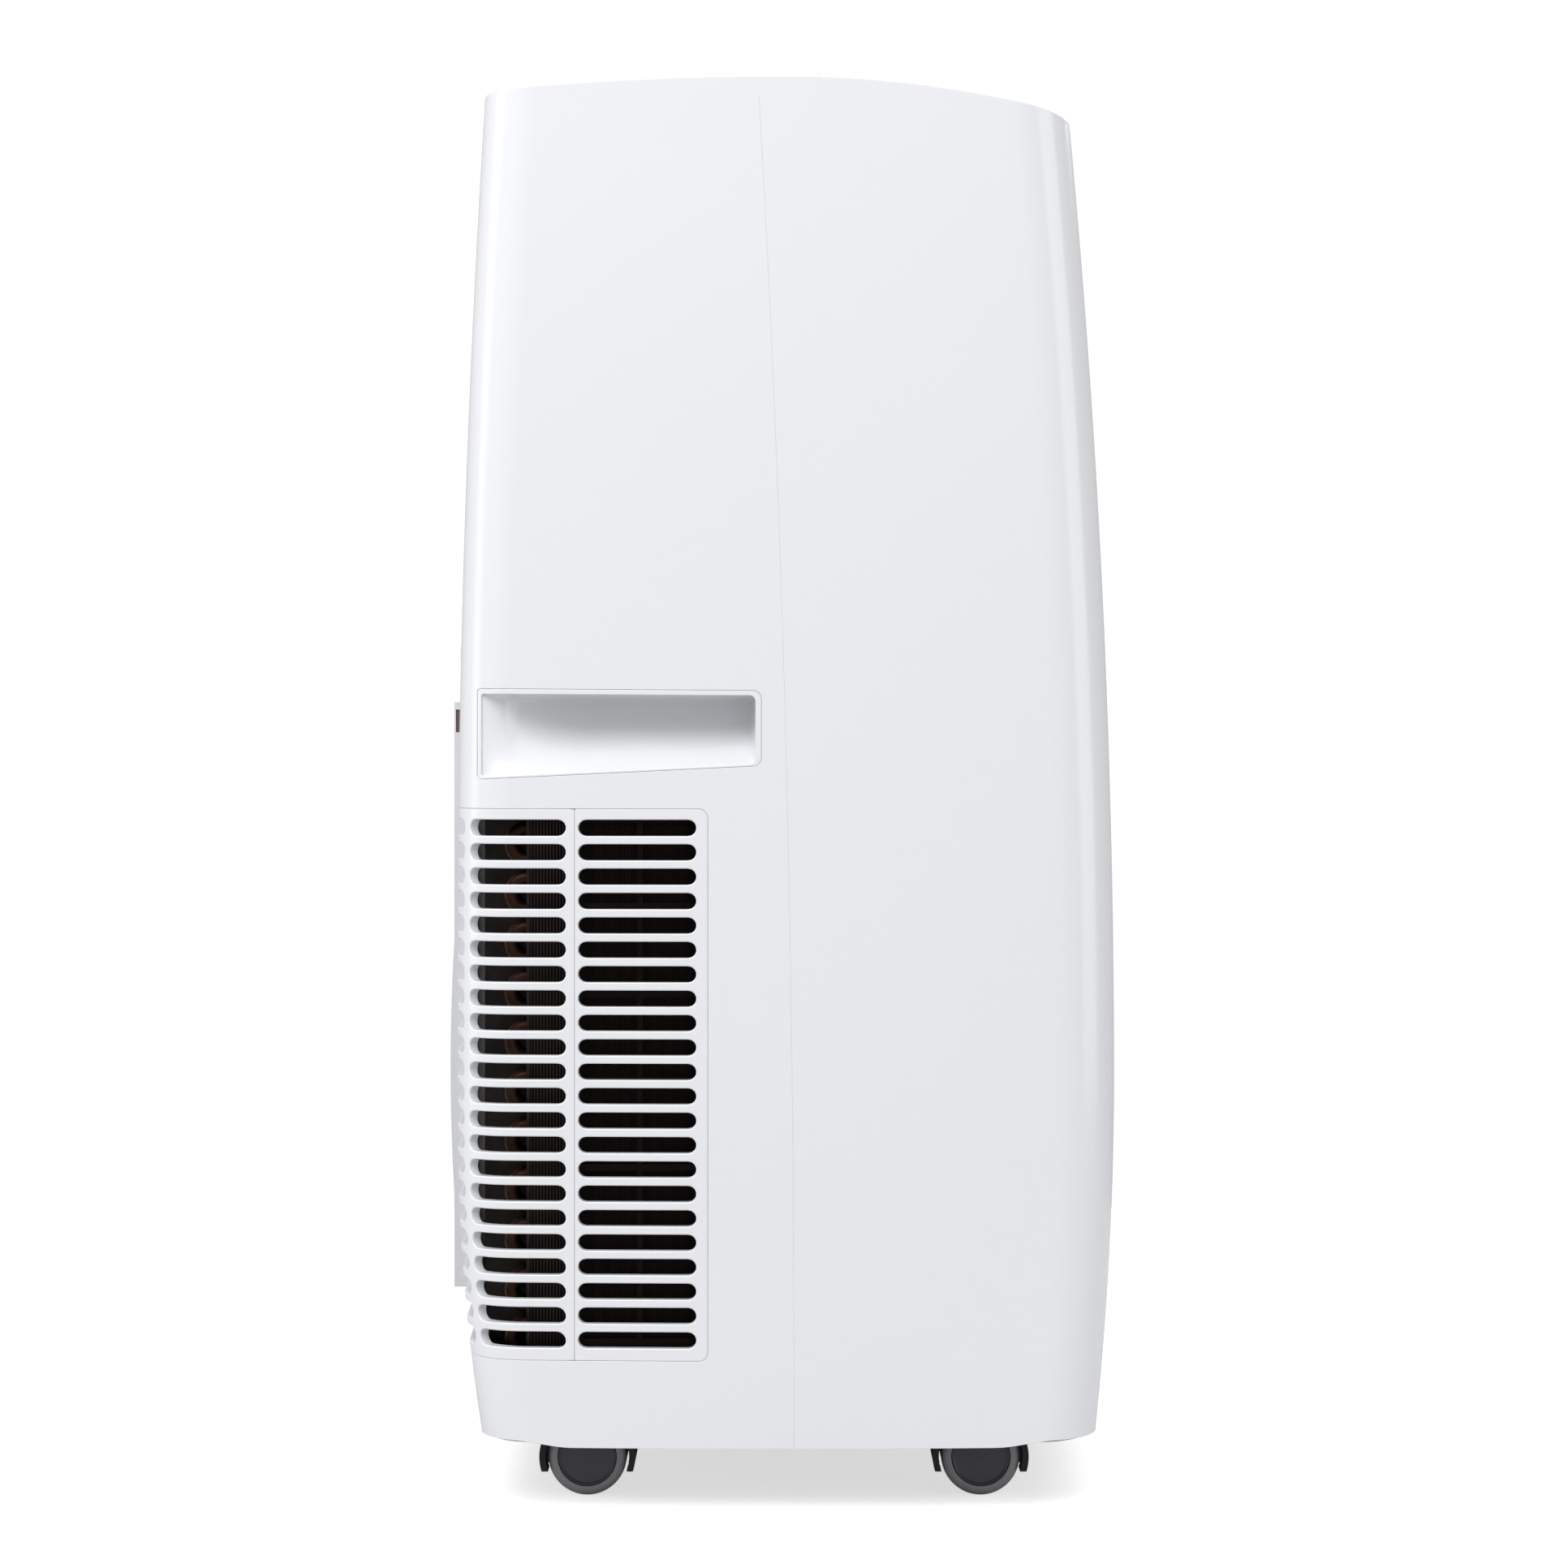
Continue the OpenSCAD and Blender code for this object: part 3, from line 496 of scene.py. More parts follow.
WHITE = material("white_plastic", (0.714, 0.720, 0.741), (0.706, 0.712, 0.733), (0.2, 0.26), patch=2.5,
                 grain=420, bump=0.05, Coat_Weight=0.25, Coat_Roughness=0.12, Specular_IOR_Level=0.45)
# The shells' back faces are painted near-black: painted shade for the casing's inside, darker than the real
# material, so that the slots look as dark as they do in use.
PAINTED_SHADE = material("painted_shade_inside", (0.012, 0.008, 0.007), roughness=(0.6, 0.7), bump=0.1, Specular_IOR_Level=0.1)
# A greyer white than the body's, for the exhaust frame and its cover.
GREYER_WHITE = material("greyer_white_plastic", (0.585, 0.59, 0.605), (0.575, 0.58, 0.595), (0.3, 0.38), patch=2.5, grain=420,
                bump=0.05)
LIGHT_GREY = material("light_grey_plastic", (0.56, 0.57, 0.58), roughness=(0.35, 0.45))
PAN = material("pan_plastic", (0.04, 0.04, 0.042), roughness=(0.5, 0.6), grain=700, bump=0.2,
               Specular_IOR_Level=0.25)
BROWN_RUBBER = material("insert_rubber", (0.12, 0.066, 0.055), roughness=(0.35, 0.5))
RUBBER = material("cap_rubber", (0.02, 0.02, 0.02), roughness=(0.5, 0.65), grain=900, bump=0.2)
STEEL = material("screw_steel", (0.6, 0.6, 0.61), roughness=(0.2, 0.32), metallic=1.0, bump=0.05)
# Galvanised steel darkened to near-black: painted shade for the casing's inside.
GALVANISED = material("galvanised_steel", (0.045, 0.038, 0.035), (0.03, 0.025, 0.023), (0.35, 0.5), metallic=1.0,
                      patch=60, bump=0.05)
PANEL = material("console_black", (0.012, 0.012, 0.014), roughness=(0.3, 0.36), grain=900, bump=0.05,
                 Specular_IOR_Level=0.3)
DISPLAY = material("display_window", (0.02, 0.024, 0.03), roughness=(0.12, 0.16), bump=0, Specular_IOR_Level=0.4)
BOARD = material("circuit_board", (0.01, 0.09, 0.03), roughness=(0.3, 0.4), patch=120)
BUTTON = material("button_plastic", (0.62, 0.63, 0.65), roughness=(0.3, 0.36))
# Aluminium fins darkened to near-black: painted shade for the casing's inside.
FINS = striped(material("fin_aluminium", (0.05, 0.04, 0.036), (0.032, 0.025, 0.022), (0.4, 0.55), metallic=0.7,
                        patch=50, bump=0, Specular_IOR_Level=0.1), 1.6)
# Copper darkened to a near-black brown: painted shade for the casing's inside.
COPPER = material("shade_darkened_copper", (0.055, 0.025, 0.018), (0.03, 0.014, 0.01), (0.35, 0.5), metallic=0.9, patch=45,
                  bump=0.05, Specular_IOR_Level=0.1)
FOAM = material("expanded_foam", (0.022, 0.019, 0.018), roughness=(0.7, 0.8), grain=350, bump=0.6, relief=0.0006,
                Specular_IOR_Level=0.1)
FAN = material("fan_plastic", (0.02, 0.02, 0.021), roughness=(0.4, 0.5), Specular_IOR_Level=0.2)
MOTOR = material("motor_steel", (0.20, 0.19, 0.19), roughness=(0.3, 0.42), metallic=1.0)
BLACK_PAINT = material("compressor_paint", (0.012, 0.012, 0.012), roughness=(0.25, 0.4), patch=20, bump=0.2,
                       relief=0.0004)
HOOD = material("hood_plastic", (0.014, 0.010, 0.009), (0.011, 0.008, 0.007), (0.4, 0.55), grain=900, bump=0.15,
                Specular_IOR_Level=0.3)
TYRE = material("tyre_grey", (0.235, 0.24, 0.245), (0.21, 0.215, 0.22), (0.42, 0.55), grain=700, bump=0.15)
HUB = material("hub_disc", (0.05, 0.045, 0.052), (0.043, 0.038, 0.045), (0.4, 0.5), grain=900, bump=0.25)
FILTER = material("filter_net", (0.010, 0.006, 0.005), roughness=(0.5, 0.6), bump=0.05, Specular_IOR_Level=0.06)


# --- shells -----------------------------------------------------------------------------------------
FILLET = 0.3           # rounding of the edges that are fitted together
SEAM = 0.012           # half the seam between the shells
SEAM_FILLET = 0.14
GAP = 0.12             # the gap seen round a fitted piece
PANEL_Y = (38.0, 104.4)
GRILLE_Z = (75.0, 350.0)
GRILLE_CORNER = 4.5
FRAME_X, FRAME_Z = 105.0, (95.0, 404.0)
HANDLE = [(11.3, 371.6), (153.6, 364.7), (153.6, 410.0), (11.3, 409.0)]
HANDLE_R = (4.2, 2.2, 1.6, 4.2)
CUP_Y, CUP_LOW, CUP_HIGH = (14.2, 151.6), (372.6, 366.1), (406.6, 407.4)   # the pocket's mouth
CUP_DEPTH = 28.5
DOOR_X, DOOR_Z = 150.0, (424.0, 672.0)
OUTLET_X, OUTLET_Z = 152.5, (598.0, 672.0)
CONSOLE_X, CONSOLE_Y = 105.0, (-118.0, -38.0)
ROUND_OVER = EDGE_R * math.pi / 2
RIM = ROUND_OVER + LID_STEP      # v above the wall's top at which the shells' rim ends


def on_side(wall, points):
    """An outline in depth y and height z, laid on the wall's first side or its corner."""
    return [Vector((wall.u_of_y(p[0], p[1]), p[1])) for p in points]


def on_face(wall, points):
    """An outline in x and height z, laid on the face that this half looks out of."""
    return [Vector((wall.u_of_x(p[0], p[1]), p[1])) for p in points]


def across(wall, points):
    """The same outline on the other side of the middle plane."""
    return [Vector((2 * wall.middle - p.x, p.y)) for p in reversed(points)]


def seam_u(wall, z):
    """u of the shell's edge along the seam, at its skin."""
    z = min(z, 711)
    return wall.u_of_y(seam_y(z) + wall.out * (SEAM + SEAM_FILLET), z)


def foot(wall, u):
    """The bottom edge's height: level along the sides, and raised a little round the corners and the ends."""
    share = max(0, min(1, (abs(wall.flat(u, SKIRT_Z)[0].y) - 106) / 28))
    return SKIRT_Z + SEAM_FILLET + 3.1 * share * share * (3 - 2 * share)


def seam_edge(wall, end):
    """The first side's edge from the foot up over the top to v = top + end."""
    low = SKIRT_Z + SEAM_FILLET
    top = wall.top(seam_u(wall, 710))
    heights = [low + (top - 1 - low) * i / 80 for i in range(81)]
    heights += [top + end * i / 10 for i in range(11)]
    return [Vector((seam_u(wall, v), v)) for v in heights]


def level(u0, u1, height, step=4.0):
    """Points between u0 and u1, without the ends, at height(u)."""
    n = math.ceil(abs(u1 - u0) / step)
    return [Vector((u0 + (u1 - u0) * i / n, height(u0 + (u1 - u0) * i / n))) for i in range(1, n)]


def wall_points(wall, v0, v1, dv=16.0):
    """Free points over the wall, close together round its corners and over its top edge."""
    us = [-6 - 12 * k for k in range(12)] + [wall.corner * k / 18 for k in range(19)]
    us += [wall.corner + wall.face_half * k / 16 for k in range(1, 17)]
    us += [2 * wall.middle - u for u in us if u < wall.middle]
    rows = round((v1 - v0) / dv)
    out = []
    for u in us:
        top = wall.top(u)
        out += [Vector((u, v)) for v in (v0 + (v1 - v0) * k / rows for k in range(1, rows)) if v < top - 5]
        out += [Vector((u, top + dz)) for dz in (-2.5, 0)] + [Vector((u, top + ROUND_OVER * k / 5))
                                                          for k in range(1, 6)]
    return out


def window(d):
    """The rear opening for the grille, the side panels and the exhaust frame, moved out by d."""
    z0, z1, r = GRILLE_Z[0] - d, GRILLE_Z[1] + d, GRILLE_CORNER + d
    turn = [math.pi / 2 * k / 6 for k in range(7)]
    low = [(PANEL_Y[0] - d + r - r * math.sin(a), z0 + r - r * math.cos(a)) for a in turn]
    high = [(PANEL_Y[0] - d + r - r * math.cos(a), z1 - r + r * math.sin(a)) for a in turn]
    side = on_side(REAR, low + spaced([low[-1], high[0]], 5, closed=False)[1:-1] + high)
    neck = on_face(REAR, [(FRAME_X + d, z) for z in (z1, z1 + 15, z1 + 35, FRAME_Z[1] + d)])
    half = [Vector((REAR.middle, z0))] + level(REAR.middle, side[0].x, lambda u: z0) + side
    half += level(side[-1].x, neck[0].x, lambda u: z1) + neck
    half += level(neck[-1].x, REAR.middle, lambda u: FRAME_Z[1] + d, 8)
    return half + [Vector((REAR.middle, FRAME_Z[1] + d))] + across(REAR, half[1:])


def handle_outline(d):
    return spaced(rounded(grown(HANDLE, d), [r + d for r in HANDLE_R]), 5)


def rear_shell():
    grow = GAP + FILLET
    first = seam_edge(REAR, RIM)
    outline = across(REAR, first)[::-1]
    outline += level(outline[-1].x, first[-1].x, lambda u: REAR.top(u) + RIM, 5) + first[::-1]
    outline += level(first[0].x, 2 * REAR.middle - first[0].x, lambda u: foot(REAR, u), 4)
    grip = on_side(REAR, handle_outline(grow))
    door = on_face(REAR, spaced(rounded(rectangle(-DOOR_X - grow, DOOR_X + grow, DOOR_Z[0] - grow,
                                                  DOOR_Z[1] + grow), 1.2), 8))
    rounds = [on_face(REAR, circle(152, 366.4, 10.3 + FILLET)), on_face(REAR, circle(-120, 62, 10.3 + FILLET)),
              on_face(REAR, circle(150, 53, 9.2 + FILLET))]
    shape = Shape()
    sheet = Sheet(outline, [window(grow), grip, across(REAR, grip), door] + rounds,
                  wall_points(REAR, 36, 700), 0.4, REAR.straight)
    shape.slab(sheet, REAR.at, REAR.normal, (SEAM_FILLET, FILLET), SHELL)
    return shape.build("rear_shell_skin", WHITE, PAINTED_SHADE)


def front_shell():
    first = seam_edge(FRONT, ROUND_OVER)
    ring = level(first[-1].x, 2 * FRONT.middle - first[-1].x, lambda u: FRONT.top(u) + ROUND_OVER, 4)
    ring = [first[-1]] + ring + [Vector((2 * FRONT.middle - first[-1].x, first[-1].y))]
    outline = first[:-1] + ring + across(FRONT, first)[1:]
    outline += level(2 * FRONT.middle - first[0].x, first[0].x, lambda u: foot(FRONT, u), 4)
    grow = GAP + FILLET
    outlet = on_face(FRONT, spaced(rounded(rectangle(-OUTLET_X - grow, OUTLET_X + grow, OUTLET_Z[0] - grow,
                                                     OUTLET_Z[1] + grow), 1.2), 8))
    shape = Shape()
    sheet = Sheet(outline, [outlet], wall_points(FRONT, 36, 700), 0.4, FRONT.straight)
    welded = {i for i in sheet.loops[0] if any((sheet.points[i] - q).length < 1e-4 for q in ring[1:-1])}
    shape.slab(sheet, FRONT.at, FRONT.normal, (SEAM_FILLET, FILLET), SHELL, joined=welded)

    # The cap goes on from the rounding: a strip along each side and the whole front of the top.
    edge = [FRONT.at(p.x, p.y) for p in ring]
    side = [Vector((p.x, p.y)) for p in edge]
    half = [Vector((p.x - math.copysign(LID_STEP, p.x), p.y)) for p in side if p.y > LID_FRONT_Y + 8]
    left = [p for p in half if p.x < 0]
    right = [p for p in half if p.x > 0]
    reach = LID_FRONT_Y + 2.5
    front_edge = [Vector((x, reach)) for x in (-195 + 6 * k for k in range(66)) if abs(x) < abs(left[0].x) - 3]
    inner = sorted(right, key=lambda p: -p.y) + [Vector((right[0].x, reach))] + front_edge[::-1]
    inner += [Vector((left[0].x, reach))] + sorted(left, key=lambda p: p.y)
    console = spaced(rounded(rectangle(-CONSOLE_X - grow, CONSOLE_X + grow, CONSOLE_Y[0] - grow,
                                       CONSOLE_Y[1] + grow), 2), 8)
    outline = side + inner
    sheet = Sheet(outline, [console], grid(-215, 215, 12, -170, 10, 12), 2.0)
    keep = {i for i in sheet.loops[0] if any((sheet.points[i] - q).length < 1e-4 for q in side[1:-1])}
    shape.slab(sheet, lambda x, y: Vector((x, y, top_z(y))), lambda x, y: top_normal(y), (SEAM_FILLET, FILLET),
               SHELL, joined=keep)
    return shape.build("front_shell_skin", WHITE, PAINTED_SHADE)


def plan_outline(z, inset, front=None):
    """The body's plan section at height z, moved in by inset, from the first rear side round to the front."""
    loop = []
    for wall in (REAR, FRONT):
        us = [-10 - 10 * k for k in range(15)][::-1] + [wall.corner * k / 20 for k in range(21)]
        us += [wall.corner + wall.face_half * k / 30 for k in range(1, 31)]
        us += [2 * wall.middle - u for u in reversed(us[:-1])]
        for u in us:
            p, n = wall.flat(u, z)
            if p.y * wall.out > 6:
                p -= n * inset
                loop.append(Vector((p.x, p.y)))
    if front is None:
        return loop
    kept = [p for p in loop if p.y > front + 0.5]
    a = min((p for p in kept if p.x < 0), key=lambda p: p.y)
    b = min((p for p in kept if p.x > 0), key=lambda p: p.y)
    ends = [Vector((a.x, front)), Vector((b.x, front))]
    run = sorted([p for p in kept if p.x > 0 and p.y < 120], key=lambda p: p.y)
    rest = [p for p in kept if p.y >= 120]
    other = sorted([p for p in kept if p.x <= 0 and p.y < 120], key=lambda p: -p.y)
    return rounded([ends[1]] + run + rest + other + [ends[0]], [2.5] + [0] * len(run + rest + other) + [2.5])


def top_cover():
    fillet = 0.9
    outline = plan_outline(CREST_Z - 6, EDGE_R + LID_INSET + fillet + 0.2, LID_FRONT_Y + fillet)
    sheet = Sheet(spaced(outline, 8), [], grid(-215, 215, 14, LID_FRONT_Y, 165, 14), 3.0)
    shape = Shape()
    shape.slab(sheet, lambda x, y: Vector((x, y, top_z(y) + LID_RISE)), lambda x, y: top_normal(y), fillet,
               LID_RISE - 0.1)
    return shape.build("top_cover_panel", WHITE)


# --- hand holds -------------------------------------------------------------------------------------
def cup():
    """The hand hold on the first side: a rim flush with the skin and a scooped pocket behind it."""
    (y0, y1), (low0, low1), (high0, high1) = CUP_Y, CUP_LOW, CUP_HIGH
    lip = [(y0, low0), (y1, low1), (y1, high1), (y0, high0)]
    wide = spaced(rounded(grown(lip, 0.4), [3.4, 1.6, 1.6, 3.4]), 4)
    shape = Shape()
    sheet = Sheet(on_side(REAR, handle_outline(-FILLET)), [on_side(REAR, wide)],
                  on_side(REAR, [(12.6, 380 + 5 * k) for k in range(5)]), 0.5)
    shape.slab(sheet, REAR.at, REAR.normal, (FILLET, 0.4), 1.6)
    rows, cols = 44, 60

    def place(i, j):
        s, v = i / cols, j / rows
        s = 0.5 - 0.5 * math.cos(math.pi * s) if i < cols / 2 else s
        y = y0 + (y1 - y0) * s
        v = 0.5 - 0.5 * math.cos(math.pi * v) if v > 0.5 else v
        z0 = low0 + (low1 - low0) * s
        z1 = high0 + (high1 - high0) * s
        z = z0 + (z1 - z0) * v
        share = 1 - (1 - min(1, (y1 - y) / 60)) ** 2.2
        rise = 1 - (1 - v) ** 2.2
        roof = math.sqrt(max(0, 1 - max(0, (v - 0.9) / 0.1) ** 2))
        end = math.sqrt(max(0, 1 - max(0, 1 - (y - y0) / 4) ** 2))
        depth = 1.2 + CUP_DEPTH * share * rise * roof * end
        u = REAR.u_of_y(y, z)
        return REAR.at(u, z, depth)

    table = [[place(i, j) for j in range(rows + 1)] for i in range(cols + 1)]
    ids = [[shape.add(p) for p in row] for row in table]

    def slope(i, j):
        du = table[min(i + 1, cols)][j] - table[max(i - 1, 0)][j]
        dv = table[i][min(j + 1, rows)] - table[i][max(j - 1, 0)]
        return unit(du.cross(dv))

    normals = [[slope(i, j) for j in range(rows + 1)] for i in range(cols + 1)]
    for i in range(cols):
        for j in range(rows):
            at = [(i, j), (i + 1, j), (i + 1, j + 1), (i, j + 1)]
            shape.face([ids[a][b] for a, b in at], [normals[a][b] for a, b in at])
    return shape


# --- grilles ----------------------------------------------------------------------------------------
BAR = 5.0
SLOT_R = 4.05
SLOT_FILLET = 0.7
ROWS = [340.6 - 12.16 * i for i in range(22)]
SLOTS_SIDE = (43.7, 102.7)
SLOT_B_START = 108.8
END_B, START_C = (REAR_R * (math.radians(a) - SIDE_SLOPE) for a in (48.4, 57.6))


def side_panel():
    corner = GRILLE_CORNER - FILLET
    outline = spaced(rounded(rectangle(PANEL_Y[0] + FILLET, PANEL_Y[1] - FILLET, GRILLE_Z[0] + FILLET,
                                       GRILLE_Z[1] - FILLET), [corner, 0.4, 0.4, corner]), 5)
    slots = [on_side(REAR, spaced(stadium(SLOTS_SIDE[0] - SLOT_FILLET, SLOTS_SIDE[1] + SLOT_FILLET, z,
                                          SLOT_R + SLOT_FILLET), 8)) for z in ROWS]
    shape = Shape()
    shape.slab(Sheet(on_side(REAR, outline), slots), REAR.at, REAR.normal, (FILLET, SLOT_FILLET), BAR)
    return shape


def spaced_heights(z0, z1, step):
    n = math.ceil((z1 - z0) / step)
    return [z0 + (z1 - z0) * i / n for i in range(n + 1)]


def rear_grille():
    z0, z1 = GRILLE_Z[0] + FILLET, GRILLE_Z[1] - FILLET
    edge = PANEL_Y[1] + GAP + FILLET
    grow = GAP + FILLET
    notch = FRAME_Z[0] - grow
    start = [Vector((REAR.u_of_y(edge, z), z)) for z in spaced_heights(z0, z1, 8)]
    inner = [Vector((REAR.u_of_x(FRAME_X + grow, z), z)) for z in spaced_heights(notch, z1, 8)]
    half = [Vector((REAR.middle, z0))] + level(REAR.middle, start[0].x, lambda u: z0, 3) + start
    half += level(start[-1].x, inner[-1].x, lambda u: z1, 3) + inner[::-1]
    half += level(inner[0].x, REAR.middle, lambda u: notch, 8)
    outline = half + [Vector((REAR.middle, notch))] + across(REAR, half[1:])
    holes = []
    for z in ROWS:
        r = SLOT_R + SLOT_FILLET
        b0 = REAR.u_of_y(SLOT_B_START, z) - SLOT_FILLET
        c1 = REAR.u_of_x(112, z) + SLOT_FILLET
        for u0, u1 in ((b0, END_B + SLOT_FILLET), (START_C - SLOT_FILLET, c1)):
            hole = spaced(stadium(u0, u1, z, r), 3)
            holes += [hole, across(REAR, hole)]
    shape = Shape()
    us = [REAR.corner * k / 14 for k in range(15)]
    us += [2 * REAR.middle - u for u in us]
    free = [Vector((u, z + 6.08)) for u in us for z in ROWS[1:]]
    shape.slab(Sheet(outline, holes, free, 1.0), REAR.at, REAR.normal, (FILLET, SLOT_FILLET), BAR)

    # A lip behind the joint with each side panel.
    lip = spaced(rectangle(PANEL_Y[1] - 1.3, PANEL_Y[1] + 3.6, z0 + 1, z1 - 1), 8)
    for points in (on_side(REAR, lip), across(REAR, on_side(REAR, lip))):
        shape.slab(Sheet(points), lambda u, v: REAR.at(u, v, BAR + 0.05), REAR.normal, 0.2, 1.2)
    return shape.build("rear_grille_bars", WHITE, PAINTED_SHADE)


def net(name, body, place, width, height, pitch=1.3, thread=0.66):
    """A filter's net of crossed threads, width by height. place turns (across, up, out) into a point."""
    shape = Shape()

    def bar(a0, a1, b0, b1, out):
        ids = [shape.add(place(a, b, out + d)) for d in (0, 0.45)
               for a, b in ((a0, b0), (a1, b0), (a1, b1), (a0, b1))]
        for f in ((3, 2, 1, 0), (4, 5, 6, 7), (0, 1, 5, 4), (1, 2, 6, 5), (2, 3, 7, 6), (3, 0, 4, 7)):
            shape.face([ids[k] for k in f])

    for k in range(1, int(width / pitch)):
        bar(k * pitch - thread / 2, k * pitch + thread / 2, 0, height, 0)
    for k in range(1, int(height / pitch)):
        bar(0, width, k * pitch - thread / 2, k * pitch + thread / 2, 0.46)
    piece = shape.build(name, FILTER)
    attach(piece, body)


# --- casters ----------------------------------------------------------------------------------------
def lathe(shape, profile, centre, steps=64):
    """Turns a closed profile of (radius, x) round a line along X through centre."""
    n = len(profile)
    rings = []
    for k in range(steps):
        a = 2 * math.pi * k / steps
        rings.append([shape.add(centre + Vector((x, r * math.cos(a), r * math.sin(a)))) for r, x in profile])
    for k in range(steps):
        j = (k + 1) % steps
        for i in range(n):
            m = (i + 1) % n
            ids = (rings[k][i], rings[j][i], rings[j][m], rings[k][m])
            shape.face(ids if profile_turn(profile) > 0 else ids[::-1])


def profile_turn(profile):
    return sum(a[0] * b[1] - b[0] * a[1] for a, b in zip(profile, profile[1:] + profile[:1]))


def softened(piece, width, segments=3, angle=35):
    """Rounds the piece's sharp edges and shades the rest smoothly."""
    bevel = piece.modifiers.new("rounded_edges", "BEVEL")
    bevel.width = width * MM
    bevel.segments = segments
    bevel.limit_method = "ANGLE"
    bevel.angle_limit = math.radians(angle)
    bevel.harden_normals = True
    return piece


def caster(name, x, y):
    centre = Vector((x, y, 20))
    tyre_profile = [tuple(p) for p in rounded([(15.0, 4.8), (19.95, 4.8), (19.95, 17.9), (15.0, 17.9)],
                                              [0.4, 2.2, 4.2, 0.5], 6)]
    disc_profile = [(0.2, 5.2), (14.85, 5.2), (14.85, 16.8), (14.5, 17.2), (13.9, 17.2), (13.3, 16.7), (0.2, 16.4)]
    for part, profile, mat in (("tyres", tyre_profile, TYRE), ("discs", disc_profile, HUB)):
        shape = Shape()
        for s in (1, -1):
            lathe(shape, [(r, s * d) for r, d in profile], centre)
        if part == "discs":
            lathe(shape, [(0.2, -5.0), (2.9, -5.0), (2.9, 5.0), (0.2, 5.0)], centre, 24)
        piece = shape.build(f"{name}_{part}", mat)
        smooth(piece)
        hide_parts(f"{name}_wheels")
        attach(piece, f"{name}_wheels")


def smooth(piece, angle=30):
    """Smooth shading that breaks at sharp edges."""
    mesh = piece.data
    if mesh.has_custom_normals:
        bpy.context.view_layer.objects.active = piece
        with bpy.context.temp_override(object=piece, active_object=piece):
            bpy.ops.mesh.customdata_custom_splitnormals_clear()
    mesh.polygons.foreach_set("use_smooth", [True] * len(mesh.polygons))
    mesh.set_sharp_from_angle(angle=math.radians(angle))


# --- the camera, on the level and square to the right side ------------------------------------------
scene = bpy.context.scene
camera = bpy.data.objects.new("camera", bpy.data.cameras.new("camera"))
scene.collection.objects.link(camera)
camera.location = (-2.015, 0.0, 0.393)
camera.rotation_euler = (math.pi / 2, 0, -math.pi / 2)
camera.data.lens = 83.0
camera.data.sensor_width = 36.0
camera.data.shift_y = -0.039
scene.camera = camera

# --- pieces -----------------------------------------------------------------------------------------
def stand_for(piece, node, body, slot, *more):
    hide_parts(node, *more)
    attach(piece, body)
    return piece


stand_for(rear_shell(), "rear_shell", "housing", "white_plastic")
stand_for(front_shell(), "front_shell", "housing", "white_plastic")
stand_for(top_cover(), "top_cover", "housing", "white_plastic")
stand_for(rear_grille(), "rear_grille", "housing", "white_plastic")
for make, node, body in ((cup, "handle_cup", "housing"), (side_panel, "side_panel", None)):
    first = make()
    for side, shape in (("left", first), ("right", first.mirrored())):
        piece = shape.build(f"{node}_{side}_skin", WHITE, PAINTED_SHADE)
        stand_for(piece, f"{node}_{side}", body or f"{node}_{side}", "white_plastic")
for end, y in (("rear", 100), ("front", -100)):
    for side, x in (("right", -160), ("left", 160)):
        caster(f"caster_{end}_{side}", x, y)

for side, s in (("right", -1), ("left", 1)):
    net(f"side_filter_net_{side}", f"side_panel_{side}",
        lambda a, b, out, s=s: Vector((s * (203.0 + out), 71 + s * (a - 30.6), 82 + b)), 61.2, 261)
DOOR_PIN = Vector((0, 148.4, 666))
DOOR_LEAN = math.atan((rear_y(DOOR_Z[0]) - rear_y(DOOR_Z[1])) / (DOOR_Z[1] - DOOR_Z[0]))


def on_door(across_x, up, out):
    """A point of the intake filter's plane, from its lower corner."""
    y, z = out - 1.8, up - 232
    c, s = math.cos(DOOR_LEAN), math.sin(DOOR_LEAN)
    return DOOR_PIN + Vector((140 - across_x, y * c - z * s, y * s + z * c))


net("intake_filter_net", "intake_door", on_door, 280, 224)
LOOKS = {
    WHITE: ["intake_door", "louvre_upper", "louvre_middle", "louvre_lower", "vane_1", "vane_2", "vane_3", "vane_4"],
    GREYER_WHITE: ["exhaust_frame", "exhaust_cover"],
    LIGHT_GREY: ["outlet_frame"],
    PAN: ["base_pan"],
    FILTER: ["side_filter_right", "side_filter_left", "intake_filter"],
    BROWN_RUBBER: ["frame_insert"],
    RUBBER: ["drain_cap_upper", "drain_cap_lower", "cord_gland", "compressor_feet"],
    STEEL: ["case_screws"],
    GALVANISED: ["coil_end_plates", "control_box"],
    PANEL: ["control_panel"],
    DISPLAY: ["display_window"],
    BOARD: ["control_board"],
    BUTTON: ["button_power", "button_mode", "button_fan", "button_timer", "button_up", "button_down"],
    FINS: ["evaporator_fins", "condenser_fins"],
    COPPER: ["coil_tubes", "refrigerant_pipes"],
    FOAM: ["divider_tray", "blower_scroll", "exhaust_scroll"],
    FAN: ["blower_wheel", "exhaust_wheel"],
    MOTOR: ["blower_motor", "exhaust_motor"],
    BLACK_PAINT: ["compressor"],
    HOOD: [f"caster_{end}_{side}_fork" for end in ("rear", "front") for side in ("right", "left")],
}
for look, names in LOOKS.items():
    for name in names:
        mesh = NODES[name].data
        mesh.materials.clear()
        mesh.materials.append(look)
for name, width in (("intake_door", 0.7), ("exhaust_frame", 0.8), ("exhaust_cover", 0.5), ("outlet_frame", 0.5),
                    ("base_pan", 0.6), ("control_panel", 0.25), ("divider_tray", 1.0), ("control_box", 0.8),
                    *((n, 0.7) for n in LOOKS[HOOD]), *((n, 0.4) for n in LOOKS[BUTTON])):
    softened(NODES[name], width)

